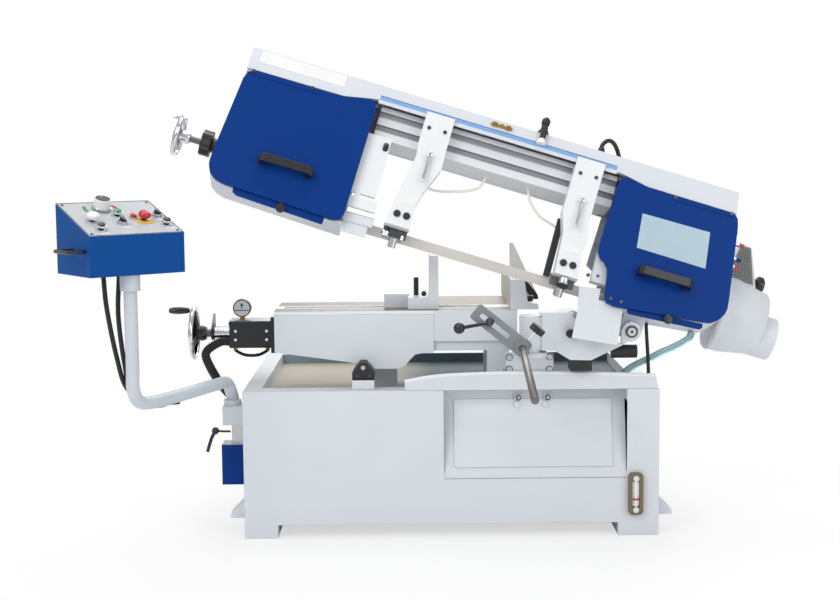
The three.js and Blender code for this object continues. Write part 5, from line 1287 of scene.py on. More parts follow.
@dataclass
class Bed:
    """Bed casting, table, pedestal, mitre column and the fixed jaw."""

    top: float = 608.0
    block_top: float = 427.6
    jaw_front: float = 168.0
    jaw_foot: float = 624.0
    column_bolts: tuple[Flat, ...] = ((157.0, 488.0), (157.0, 456.0), (265.0, 489.0), (265.0, 455.0))

    def castings(self) -> None:
        """Dresses the castings."""

        def ground_top(middle: Vector, normal: Vector) -> Finish:
            """Returns ground steel on the top face."""
            return TABLE if normal.z > 0.9 and middle.z > self.top - 2 else GREY

        def bracket(middle: Vector, normal: Vector) -> Finish:
            """Returns black for the casting that stands on the painted block."""
            return CAST if middle.z > self.block_top else GREY

        def worn(middle: Vector, normal: Vector) -> Finish:
            """Returns the worn top of the wear plate and enamel on its edge."""
            return TABLE if normal.z > 0.9 else PALE

        clad("bed_body", MACHINE, GREY, 1.5)
        clad("bed_wear_plate", MACHINE, worn, 0.5)
        clad("saw_table", MACHINE, ground_top, 1.5)
        clad("bed_pedestal", MACHINE, bracket, 1.2)
        clad("mitre_column", MACHINE, GREY, 1.5)
        for name, y, *size in (
            ("column_screws", 12.5, 7.6, 6.0, SILVER), ("column_washers", 15.0, 9.8, 3.0, BOLT),
        ):
            screws(name, "base", MACHINE, [(x, y, z) for x, z in self.column_bolts], FRONT, *size)
        pedestal = [(-252.0, 29.6, 438.0), (-220.0, 29.6, 438.0)]
        screws("pedestal_screws", "base", MACHINE, pedestal, FRONT, 3.6, 3.0, DARK)
        screws("pedestal_bolt", "base", MACHINE, [(-236.0, 29.0, 461.0)], FRONT, 6.0, 4.0, SILVER)

    def jaw(self) -> None:
        """Dresses the fixed jaw and its cream plate."""

        def faced(middle: Vector, normal: Vector) -> Finish:
            """Returns ground steel on the clamping face."""
            return JAW if normal.x < -0.9 and middle.x < self.jaw_front else GREY

        clad("fixed_jaw", MACHINE, faced, 1.2)
        clad("jaw_guard_plate", MACHINE, CREAM, 0.6)
        bar = Shape(MACHINE).dress(BLACK)
        bar.prism([(190, 700), (204, 694), (262, 622), (262, 610), (246, 610), (190, 682)], 340, 345.6)
        bar.finish("jaw_plate_bar", "base", 0.8)
        screws("jaw_screws", "base", MACHINE, [(222.0, 150.0, self.jaw_foot + 8)], UP, 10.0, 16.0, BLACK)

    def build(self) -> None:
        """Builds the bed."""
        self.castings()
        self.jaw()


@dataclass
class Vise:
    """Moving jaw, its cylinder with a pressure gauge, and the handwheel with its crank."""

    wheel_x: float = -701.0
    slot_y: float = 190.0
    screw_z: float = 538.0
    rim_radius: float = 75.0
    rim_tube: float = 11.0
    rim_thin: float = 6.5
    gauge_spot: Point = (-577.0, 190.0, 608.0)
    hose_ends: Flat = (-600.3, -510.3)
    hose_y: float = 211.5
    sleeve_x: float = -609.4

    def jaw(self) -> None:
        """Dresses the moving jaw."""

        def faced(middle: Vector, normal: Vector) -> Finish:
            """Returns ground steel on the clamping face and black for the upright pin."""
            if -112 < middle.x < -66 and middle.z > 646:
                return BLACK
            return JAW if normal.x > 0.9 and middle.x > -32 and middle.z > 600 else GREY

        clad("moving_jaw", MACHINE, faced, 1.2)
        pin = Shape(MACHINE).dress(BLACK).rod((-70, 108, 652), (-70, 116, 652), 7.0)
        pin.rod((-70, 100, 652), (-70, 109, 652), 4.0)
        pin.finish("jaw_pin", "jaw")

    def cylinder(self) -> None:
        """Dresses the cylinder and makes its fittings and the pressure gauge on it."""

        def choose(middle: Vector, normal: Vector) -> Finish:
            """Returns black below and bare metal for the top fitting."""
            return SILVER if middle.z > 577 or normal.z > 0.9 and middle.z > 560 else CAST

        clad("vise_cylinder", MACHINE, choose, 1.2)
        x, y, z = self.gauge_spot
        gauge = Shape(MACHINE)
        gauge.dress(DARK).lathe(
            [(0, -11), (24.6, -11), (25.2, -9), (25.2, 9), (24.0, 11.5), (21.8, 11.8), (21.6, 10), (0, 10)],
            (x, y, z), FRONT, 48,
        )
        gauge.dress(WHITE).lathe([(0, 9.8), (21.5, 9.8), (21.5, 10.3), (0, 10.3)], (x, y, z), FRONT, 40)
        gauge.dress(BLACK).block((x - 20, y - 11.2, z - 7), (x + 20, y - 10.2, z - 4.6))
        gauge.block((x - 1, y - 11.6, z - 2), (x + 1, y - 10.9, z + 15))
        gauge.rod((x, y - 10, z + 9), (x, y - 12.5, z + 9), 3.6, sides=16)
        gauge.dress(BRASS).rod((x, y, z - 34), (x, y, z - 22), 7.0, sides=6)
        gauge.finish("pressure_gauge", "base")
        fittings = Shape(MACHINE)
        for end in self.hose_ends:
            fittings.dress(BRASS).rod((end, self.hose_y, 500.5), (end, self.hose_y, 488), 7.0, sides=6)
        fittings.dress(SILVER).prism([(-670, 549), (-663, 589), (-657, 589), (-657, 549)], 226, 229)
        fittings.dress(CHROME).lathe(
            [(11.4, 0), (18, 0), (18, 44), (16.6, 46), (11.4, 46), (11.4, 0)],
            (self.sleeve_x, self.slot_y, self.screw_z), LEFT, 40,
        )
        fittings.dress(BLACK).lathe(
            [(11.4, 0), (20, 0), (20, 8), (11.4, 8), (11.4, 0)],
            (self.sleeve_x - 46, self.slot_y, self.screw_z), LEFT, 40,
        )
        fittings.finish("cylinder_fittings", "base")
        spots = [(x2, 146.4, z2) for x2 in (-592, -506) for z2 in (548, 524)]
        screws("cylinder_front_screws", "base", MACHINE, spots, FRONT, 4.0, 2.0, CHROME)
        spots = [(-610.2, y + s, z2) for s in (-36, 36) for z2 in (508, 568)]
        screws("cylinder_screws", "base", MACHINE, spots, LEFT, 4.5, 2.0)

    def wheel(self) -> None:
        """Makes the handwheel on the vise screw."""
        x, y, z = self.wheel_x, self.slot_y, self.screw_z
        wheel = Shape(MACHINE).dress(CHROME)
        middle = self.rim_radius - self.rim_tube
        wheel.hoop((x - self.rim_tube, y, z), RIGHT, self.rim_radius - self.rim_thin, self.rim_thin, 96)
        wheel.dress(BLACK).lathe(
            [(0, -27), (15, -27), (19, -22), (21, -8), (21, 16), (17, 24), (0, 24)], (x, y, z), RIGHT, 40,
        )
        for tip in spokes((x - self.rim_tube, y, z), middle):
            wheel.tube([(x, y, z), (x - 7, (y + tip[1]) / 2, (z + tip[2]) / 2), tip], 6.8, 18)
        wheel.dress(CHROME).rod((x - 11, y, z + middle), (x - 80, y, z + middle), 3.9, sides=20)
        wheel.finish("vise_wheel_chrome", "vise_wheel", stands_for=["vise_handwheel"])
        span = MACHINE.inverted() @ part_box("vise_handwheel")[1]
        screw = Shape(MACHINE).dress(STEEL).rod((x + 20, y, z), (span.x, y, z), 11.0, sides=40)
        screw.finish("vise_screw", "vise_wheel")
        grip = Shape(MACHINE).dress(BLACK)
        start = x - 2 * self.rim_tube - 0.3
        profile = [
            (4.3, 0), (5.6, 0), (8.0, 7), (9.6, 22), (9.9, 34), (8.8, 48), (6.4, 57), (4.4, 58), (4.3, 57),
        ]
        grip.lathe([*profile, profile[0]], (start, y, z + middle), LEFT, 36)
        grip.finish("crank_handle", "crank", stands_for=["crank_grip"])

    def build(self) -> None:
        """Builds the vise."""
        self.jaw()
        self.cylinder()
        self.wheel()


@dataclass
class MitreArm:
    """Swivel arm with its pivot, lift cylinder and length stop."""

    plate_lean: float = 141.0
    knob_lean: float = 102.0
    clamp: float = 34.0
    ball_radius: float = 15.0

    def arm(self) -> None:
        """Dresses the arm."""

        def choose(middle: Vector, normal: Vector) -> Finish:
            """Returns black for the foot below the arm."""
            return CAST if middle.z < 484.5 and middle.x < 240 else GREY

        clad("swivel_arm", ARM, choose, 1.8)
        clad("lift_cylinder", ARM, CAST, 0.8)
        pivot = Shape(ARM)
        pivot.dress(DARK).rod((267, 206, 560), (267, -36, 560), 16.2, sides=40)
        pivot.dress(CHROME).rod((267, -30, 560), (267, -37.4, 560), 13.0, 11.6, 40)
        pivot.dress(DARK).rod((267, -36, 560), (267, -37.9, 560), 4.0, sides=24)
        pivot.finish("pivot_pin", "swivel", stands_for=["pivot_shaft"])
        knob = Shape(MACHINE).dress(BLACK)
        knob.rod((315, -25.3, 558), (315, -35, 558), 8.0, 9.0)
        knob.lathe([(0, 0), (9, 0), (12, 3), (12, 7), (9, 10), (0, 10)], (315, -35.2, 558), FRONT, 32)
        knob.finish("arm_knob_cap", "arm_knob", stands_for=["arm_knob"])

    def stop(self) -> None:
        """Makes the rod, slotted plate, star knob and ball lever."""
        rod = Shape(STOP_ROOT).dress(STEEL)
        rod.lathe([(0, 0.6), (9.5, 0.6), (9.5, 668), (8, 671), (0, 671.8)], (0, 0, 0), FRONT, 36)
        rod.finish("stop_rod_bar", "swivel", stands_for=["stop_rod"])
        clad("stop_plate", STOP, IRON, 1.2)
        star_place = STOP @ turned(self.plate_lean - self.knob_lean, "Y")
        star = Shape(star_place)
        base = self.clamp * math.sqrt(0.5) + 0.3
        lobes = lobed((0.0, 0.0), 20.6, 1.2, 5, 60)
        high = self.knob_top(star_place)
        star.dress(BLACK).prism(lobes, high - 17, high, Axis.Z)
        star.dress(CHROME).rod((0, 0, base), (0, 0, high - 15), 5.0)
        star.finish("star_grip", "star", 1.6, stands_for=["star_knob"])
        self.ball()

    def knob_top(self, place: Matrix) -> float:
        """Returns how far the star knob reaches along its own axis."""
        inverse = place.inverted()
        return max((inverse @ v.co).z for v in NODES["star_knob"].data.vertices)

    def ball(self) -> None:
        """Makes the ball lever at the end of the slotted plate."""
        inverse = STOP.inverted()
        spots = [inverse @ v.co for v in NODES["ball_lever"].data.vertices]
        tip = Vector([min(s[k] for s in spots) + self.ball_radius for k in range(3)])
        hub = Vector((max(s.x for s in spots) - 12, -6.3, max(s.z for s in spots) - 12))
        lever = Shape(STOP)
        lever.dress(DARK).rod(tuple(hub), (hub.x, hub.y - 12, hub.z), 11.6, 10.0)
        lever.dress(DARK).rod((hub.x, hub.y - 12, hub.z), (hub.x, hub.y - 23, hub.z), 9.5, 6.0)
        lever.dress(BLACK).rod((hub.x, hub.y - 12, hub.z), tuple(tip), 4.0, 5.4)
        lever.dress(BLACK).ball(tuple(tip), self.ball_radius, 40)
        lever.finish("ball_handle", "ball", stands_for=["ball_lever"])

    def build(self) -> None:
        """Builds the arm."""
        self.arm()
        self.stop()


@dataclass
class Bow:
    """Saw bow: frame, beam with its rule, band, wheels and what stands on top."""

    top: float = 381.3
    front: float = -50.0
    plate: tuple[Flat, ...] = ((-1150.0, 378.0), (-914.0, 378.0), (-914.0, 345.0), (-1150.0, 345.0))
    lip: Flat = (-814.0, -152.0)
    tick_pitch: float = 6.0
    groove: Flat = (266.6, 304.4)
    groove_floor: float = -12.1
    rule: Flat = (-794.0, -158.0)
    splash_x: float = -156.0
    post: Flat = (-366.0, -20.0)
    nozzle: Flat = (-368.0, -59.0)
    valve: Flat = (-54.0, 366.0)
    gland_x: float = -198.0
    loop_span: Point = (76.0, 84.3, 54.0)
    tube_radius: float = 3.4

    def shell(self) -> None:
        """Dresses the bow frame, with its bare plate, lip strip and splash plate screws."""
        clad("bow_frame", BOW, GREY, 1.6)
        plate = Shape(BOW).dress(PLATE)
        plate.prism(self.plate, self.front - 0.9, self.front + 0.4)
        plate.finish("band_plate", "bow", 0.3)
        strip = Shape(BOW)
        start, end = self.lip
        # The strip's lower band is a lighter blue that paints the light on the lip; the thin band above it
        # keeps the cover blue.
        strip.dress(LIT_BLUE).block((start, self.front - 1.2, 341.4), (end, self.front + 1, 351))
        strip.dress(BLUE).block((start, self.front - 0.9, 351), (end, self.front + 1, 352.6))
        strip.finish("beam_lip_strip", "bow")
        spots = [(self.splash_x, self.front - 1, z) for z in (36, 122)]
        screws("splash_screws", "bow", BOW, spots, FRONT, 5.0, 3.0)

    def beam(self) -> None:
        """Dresses the beam, with the rule in its upper groove and the screws in its lower one."""

        def choose(middle: Vector, normal: Vector) -> Finish:
            """Returns a darker grey inside the grooves, painted shade of their recess, and bright steel
            elsewhere.
            """
            return GROOVE if -19.5 < middle.y < -6 else BEAM

        clad("guide_beam", BOW, choose, 0.6)
        middle = self.groove[1]
        count = int((self.rule[1] - self.rule[0]) / self.tick_pitch)
        y = self.groove_floor
        spots = [((self.rule[0] + k * self.tick_pitch, y, middle), RIGHT) for k in range(count)]
        TICKS.apply("beam_rule", "bow", points_mesh("beam_rule", BOW, spots), {
            "Size": (0.0026, 0.0003, 0.013), "Finish": PALE.material(),
        })
        spots = [(self.rule[0] + 20 + k * 62, y - 0.1, self.groove[0]) for k in range(10)]
        screws("beam_groove_screws", "bow", BOW, spots, FRONT, 1.8, 0.6, BEAM)

    def running_gear(self) -> None:
        """Dresses the band, wheels, gearbox, tension slide and guard."""
        for node, finish, bevel in (
            ("blade", BAND, 0.0), ("drive_wheel", DARK, 1.0), ("idler_wheel", DARK, 1.0),
            ("tension_slide", CAST, 1.0), ("gearbox", GREY, 3.0), ("blade_guard", PALE, 0.8),
        ):
            clad(node, BOW, finish, bevel)
        knob = Shape(BOW).dress(BLACK)
        knob.lathe(
            [(0, 0), (6, 0), (6, 6), (13, 8), (14, 12), (14, 18), (11, 21), (0, 21)],
            (-777, -27, 222), RIGHT, 36,
        )
        knob.finish("guard_knob", "bow")
        shroud = Shape(BOW).dress(GREY)
        for low, high in (
            ((-818, -28, -2), (-738, -25, 24)), ((-818, -28, 21), (-738, 24, 24)),
            ((-818, -24.8, -32), (-748, -22, -2)), ((-818, -24.8, -2), (-738, -22, 0.5)),
        ):
            shroud.block(low, high)
        shroud.finish("band_shroud", "bow", 0.6)

    def uprights(self) -> None:
        """Makes the black bar and block beside the right guide."""
        bar = Shape(BOW).dress(BLACK).block((-268, -22, 10), (-250, -12, 174))
        bar.finish("guide_back_bar", "guide_right", 0.8)
        block = Shape(BOW).dress(GREY).block((-143, -34, 28), (-100, -8, 118))
        block.finish("band_brush_block", "bow", 1.2)
        spots = [(-128, -34.6, 46), (-128, -34.6, 92)]
        screws("brush_block_screws", "bow", BOW, spots, FRONT, 4.0, 2.4)

    def fittings(self) -> None:
        """Makes the coolant fitting, the brass valve and the cable gland with its loop."""
        x, y = self.post
        out, front = self.nozzle
        upright = Shape(BOW).dress(CAST)
        upright.disc([
            (0, self.top), (19.3, self.top), (19.3, 386), (12, 403), (9, 405), (9, 418), (11.5, 420),
            (11.5, 432), (8, 437), (6, 439.2), (0, 439.2),
        ], x, y, 36)
        upright.rod((out, front, 361), (out, front, 396), 7.5, 8.5, 28)
        upright.rod((out, front, 388), (x, y, 388), 5.0, sides=20)
        upright.dress(CREAM).rod((out, front, 347), (out, front, 362), 13.0, 9.0, 28)
        upright.finish("coolant_post", "bow", stands_for=["coolant_fitting"])
        brass = Shape(BOW).dress(BRASS)
        y, z = self.valve
        brass.rod((-510, y, z), (-452, y, z), 4.0, sides=20)
        for x in (-506, -468):
            brass.block((x, y - 4, z - 5.5), (x + 12, y + 4.5, z + 5.5))
        brass.rod((-481, y, z), (-481, y - 4, z), 5.5, sides=6)
        brass.finish("brass_valve", "bow", 0.5)
        x = self.gland_x
        cable = Shape(BOW).dress(RUBBER)
        cable.rod((x, 0, self.top), (x, 0, 398), 11.0, sides=6)
        cable.disc([(0, 397), (9.5, 397), (10.2, 401), (9.2, 405), (7.2, 411), (6.1, 411)], x, 0, 30)
        shares = [
            (0, 0, 0), (0, 0.06, 0.5), (0.2, 0.22, 0.92), (0.5, 0.52, 1), (0.82, 0.84, 0.62), (1, 1, 0),
            (1, 1, -0.9),
        ]
        along, back, rise = self.loop_span
        points = [(x + u * along, v * back, self.top + 13 + w * rise) for u, v, w in shares]
        cable.tube(points, 5.9, 20)
        cable.finish("bow_cable_run", "bow", stands_for=["bow_cable_loop"])

    def coolant_tubes(self) -> None:
        """Makes the thin coolant tubes that hang behind the guides."""
        tubes = Shape(BOW).dress(CREAM)
        for route in (
            ((-640, 16, 214), (-619, 20, 164), (-539, 24, 182), (-492, 24, 208), (-481, 22, 246)),
            (
                (-366, 22, 262), (-362, 22, 243), (-349, 24, 214), (-314, 24, 180), (-266, 20, 162),
                (-238, 16, 140),
            ),
        ):
            tubes.tube(route, self.tube_radius, 12)
        tubes.finish("coolant_tubes", "bow")

    def build(self) -> None:
        """Builds the bow."""
        self.shell()
        self.beam()
        self.running_gear()
        self.uprights()
        self.fittings()
        self.coolant_tubes()


@dataclass
class Covers:
    """Blue wheel covers with their handles, folds, flaps, latches, screws and a bare plate."""

    face: float = -54.3
    flap: Flat = (-46.5, -40.6)
    fold: Flat = (304.0, 308.0)

    def choose(self, middle: Vector, normal: Vector) -> Finish:
        """Returns black for the handle in front of the cover's face."""
        return BLACK if middle.y < self.face - 1.2 else BLUE

    def build(self) -> None:
        """Builds both covers."""
        clad("cover_left", BOW, self.choose, 2.2)
        clad("cover_right", BOW, self.choose, 2.2)
        y = self.face
        low, high = self.fold
        for side, start, end in (("left", -1172, -966), ("right", 14, 186)):
            fold = Shape(BOW).dress(BLUE)
            fold.prism([(start, high), (end, high), (end, low), (start, low)], y - 1.6, y + 1)
            fold.finish(f"{side}_cover_fold", f"cover_{side}", 0.8)
        for name, side, spots in (
            ("left_hinge_screws", "left", ((-1156, 314), (-994, 315))),
            ("right_hinge_screws", "right", ((20, 314), (178, 314))),
            ("right_low_screws", "right", ((-84, -10), (-55, -10))),
        ):
            screws(name, f"cover_{side}", BOW, [(x, y - 1, z) for x, z in spots], FRONT, 5, 3)
        for side, outline in (
            ("left", [(-1116, 2), (-864, -12), (-864, -32), (-869, -36), (-1098, -27), (-1112, -21)]),
            ("right", [(-32, -18), (172, -2), (172, -14), (166, -19), (-25, -33), (-32, -29)]),
        ):
            flap = Shape(BOW).dress(BLUE).prism(outline, *self.flap)
            flap.finish(f"{side}_cover_flap", f"cover_{side}", 0.8)
        for name, x, z in (("cover_left", -980.0, -29.0), ("cover_right", 77.0, -20.0)):
            latch = Shape(BOW)
            latch.dress(BLACK).lathe(
                [(0, 0), (7, 0), (7, 4), (12, 6), (13, 10), (12.5, 15), (9, 18), (0, 18.5)],
                (x, -46, z), FRONT, 32,
            )
            latch.finish(f"{name}_latch", name)
        plate = Shape(BOW).dress(NOTICE)
        plate.prism([(-56, 243), (133, 246), (143, 144), (-49, 146)], y - 0.7, y + 0.4)
        plate.finish("cover_plate", "cover_right", 0.3)


@dataclass
class Guides:
    """Guide arms on the beam with heads, rollers, levers and screws."""

    levers: tuple[tuple[str, float], ...] = (("left", -645.0), ("right", -223.0))
    lever_z: float = 224.0
    front: float = -60.3
    brush: Flat = (-214.0, -43.0)
    bearing: Flat = (-700.0, -26.0)
    labels: tuple[tuple[str, float, Flat], ...] = (
        ("left", -672.0, (-690.0, -646.0)), ("right", -216.0, (-238.0, -196.0)),
    )

    def build(self) -> None:
        """Builds both guides."""

        def choose(middle: Vector, normal: Vector) -> Finish:
            """Returns bare iron for the guide head and enamel for the arm in front."""
            return HEAD if middle.z < 13.4 or middle.y > -20.4 else PALE

        for side, x in self.levers:
            clad(f"guide_arm_{side}", BOW, choose, 1.0)
            clad(f"guide_roller_{side}", BOW, CHROME, 0.6)
            self.lever(side, x)
        self.details()

    def lever(self, side: str, x: float) -> None:
        """Makes one lock lever.

        Args:
            side: Side of the guide.
            x: Place of the lever along the bow.
        """
        y, z = self.front, self.lever_z
        lever = Shape(BOW).dress(CHROME)
        lever.lathe([(0, 0), (8.7, 0), (8.7, 11), (7.0, 15), (5, 16), (0, 16)], (x, y, z), FRONT, 36)
        route = [(x, y - 8, z - 2), (x, y - 10, z - 30), (x, y - 14, z - 62), (x, y - 16, z - 80)]
        lever.tube(route, 4.2, 18)
        lever.ball((x, y - 15.6, z - 77), 5.0, 24)
        lever.finish(f"lock_lever_{side}", f"lever_{side}", stands_for=[f"guide_lever_{side}"])

    def details(self) -> None:
        """Adds the band brush, the side bearing, the screws and the bare label plates."""
        brush = Shape(BOW)
        profile = [(0, 0), (12, 0), (13, 2), (13, 16), (11, 18), (0, 18)]
        brush.dress(CHROME).lathe(profile, (*self.brush, -6), UP, 40)
        profile = [(0, 0), (11, 0), (15, 2), (16, 4), (16, 8), (13, 10), (0, 10)]
        brush.dress(RUBBER).lathe(profile, (*self.brush, -16), UP, 40)
        brush.finish("band_brush", "guide_right", 0.0, 40)
        bearing = Shape(BOW)
        profile = [(0, 0), (9, 0), (12, 3), (12, 13), (9, 16), (0, 16)]
        bearing.dress(CHROME).lathe(profile, (*self.bearing, -14), UP, 36)
        bearing.dress(BLACK).rod((*self.bearing, 2), (*self.bearing, 14), 8.0, sides=24)
        bearing.dress(DARK).block((-690, -32, -4), (-650, -22, 12))
        bearing.dress(CHROME).rod((-654, -28, -12), (-654, -28, 0), 5.0, sides=20)
        bearing.finish("side_bearing", "guide_left", 0.0, 40)
        for side, x, label in self.labels:
            body = f"guide_{side}"
            spots = [(x - 13, -61, 46), (x + 13, -61, 46)]
            screws(f"head_screws_{side}", body, BOW, spots, FRONT, 9.5, 4.0, CAST)
            plate = Shape(BOW).dress(PLATE)
            plate.prism([(label[0], 78), (label[1], 78), (label[1], 94), (label[0], 94)], -60.9, -59.6)
            plate.finish(f"arm_plate_{side}", body, 0.2)
            spots = [(dict(self.levers)[side] + shift, -61, 300) for shift in (-22, 22)]
            screws(f"clamp_screws_{side}", body, BOW, spots, FRONT, 5.0, 3.0)


@dataclass
class Tension:
    """Blade tension handwheel and the lock wheel behind it."""

    x: float = -1296.0
    y: float = 40.0
    z: float = 113.0
    radius: float = 57.0
    rim: float = 8.0
    screw_end: float = -1036.0

    def build(self) -> None:
        """Builds the tension wheels."""
        middle = self.radius - self.rim
        place = (self.x, self.y, self.z)
        wheel = Shape(BOW).dress(CHROME)
        wheel.hoop((self.x - self.rim, self.y, self.z), RIGHT, middle, self.rim, 96)
        wheel.lathe(
            [(0, -23), (12, -23), (16, -19), (17, -8), (17, 18), (14, 23), (0, 23)], place, RIGHT, 36,
        )
        for tip in spokes((self.x - self.rim, self.y, self.z), middle):
            wheel.rod(place, tip, 5.4, 4.6, 20)
        self.spinner(wheel)
        wheel.dress(STEEL).rod((self.x + 20, self.y, self.z), (self.screw_end, self.y, self.z), 8.8, sides=32)
        wheel.finish("tension_wheel_chrome", "tension_wheel", stands_for=["tension_handwheel"])
        lock = Shape(BOW)
        lobes = lobed((self.y, self.z), 33.5, 2.6, 7, 84)
        lock.dress(BLACK).prism(lobes, -1241, -1213, Axis.X)
        lock.dress(BLACK).rod((-1214, self.y, self.z), (-1196, self.y, self.z), 20.0)
        lock.finish("lock_wheel_grip", "lock_wheel", 1.6, stands_for=["lock_wheel"])

    def spinner(self, wheel: Shape) -> None:
        """Adds the small spinner grip on the rim.

        Args:
            wheel: Shape that takes the grip.
        """
        inverse = BOW.inverted()
        spots = [inverse @ v.co for v in NODES["tension_handwheel"].data.vertices]
        edge = min(s.x for s in spots)
        near = [s for s in spots if s.x < edge + 1]
        y = sum(s.y for s in near) / len(near)
        z = sum(s.z for s in near) / len(near)
        profile = [(0, 0), (5, 0), (5, 6), (6.6, 12), (6.8, 22), (5.4, 30), (0, 32)]
        wheel.lathe(profile, (edge + 32.2, y, z), LEFT, 28)


@dataclass
class Drive:
    """Motor with its stub and cowl, and the hose fittings at the bow's right end."""

    x: float = 231.0
    y: float = 120.0
    z: float = 91.0
    radius: float = 107.0
    length: float = 131.0
    hole_pitch: int = 9
    hole_radius: float = 0.0021

    def drum(self) -> None:
        """Makes the motor drum and its stub."""
        end = self.x + self.length
        motor = Shape(BOW).dress(GREY)
        motor.lathe([
            (0, 150.3), (31.7, 150.3), (31.7, self.x), (101.5, self.x), (106.4, self.x + 6),
            (106.4, self.x + 14), (104.6, self.x + 16), (104.4, self.x + 40), (86.5, end - 2), (84.5, end),
            (0, end),
        ], (0, self.y, self.z), RIGHT, 72)
        motor.lathe([
            (0, end - 44), (58.2, end - 44), (58.7, end - 40), (58.7, end + 40), (57.4, end + 43.6),
            (50, end + 43.8), (49, end + 42), (48.6, end + 30), (0, end + 30),
        ], (0, self.y, self.z - 32), RIGHT, 64)
        motor.finish("motor_drum", "bow", 0.0, 38, stands_for=["motor"])

    def cowl(self) -> None:
        """Makes the cowl over the motor, with its perforated front and its knob."""
        low, high = self.z + self.radius / 2, self.z + self.radius / 2 + 149.5
        cowl = Shape(BOW).dress(GREY)
        outline = [(self.x + 0.4, low), (self.x + 109.5, low), (self.x + 60.5, high), (self.x + 27.5, high)]
        cowl.prism(outline, self.y - 24.6, self.y + 24.6)
        cowl.finish("motor_cowl", "bow", 3.0)
        sheet = Shape(BOW).dress(MESH)
        outline = [
            (self.x + 9, low + 44), (self.x + 87, low + 44), (self.x + 58, high - 4), (self.x + 30, high - 4),
        ]
        sheet.prism(outline, self.y - 25.2, self.y - 24.0)
        sheet.finish("cowl_mesh", "bow")
        spots = []
        pitch = self.hole_pitch
        for row in range(9):
            z = self.z + 0.62 * self.radius + 46 + row * pitch
            half = (high - z) / (high - low) * 30 + 8
            count = int(2 * half / pitch)
            middle = self.x + 45 + (high - z) * 0.05
            for k in range(count):
                spots.append(((middle + (k - (count - 1) / 2) * pitch, self.y - 25.3, z), FRONT))
        carrier = points_mesh("cowl_holes", BOW, spots)
        # The holes are black discs: painted shade of the space behind the mesh.
        HOLES.apply("cowl_holes", "bow", carrier, {
            "Hole radius": self.hole_radius, "Finish": BLACK.material(),
        })
        knob = Shape(BOW).dress(BLACK)
        knob.rod((self.x + 82, self.y, self.z + 112), (self.x + 100, self.y, self.z + 112), 8.0, sides=24)
        knob.lathe(
            [(0, 0), (14, 0), (24, 5), (26, 12), (25, 22), (19, 27), (0, 28)],
            (self.x + 94, self.y, self.z + 108), RIGHT, 36,
        )
        knob.finish("cowl_knob", "bow")

    def outlets(self) -> None:
        """Makes the coloured hydraulic fittings on the housing's right end."""
        pair = Shape(BOW)
        pair.dress(BLACK).block((212, -10, 176), (217, 16, 286))
        for z, finish in ((192, RED), (214, PANEL_BLUE), (256, RED)):
            pair.dress(SILVER).rod((214, 4, z), (232, 4, z), 7.0, sides=6)
            pair.dress(finish).rod((231, 4, z), (246, 4, z), 6.0, 5.0, 24)
        pair.finish("end_fittings", "bow")

    def build(self) -> None:
        """Builds the drive."""
        self.drum()
        self.cowl()
        self.outlets()


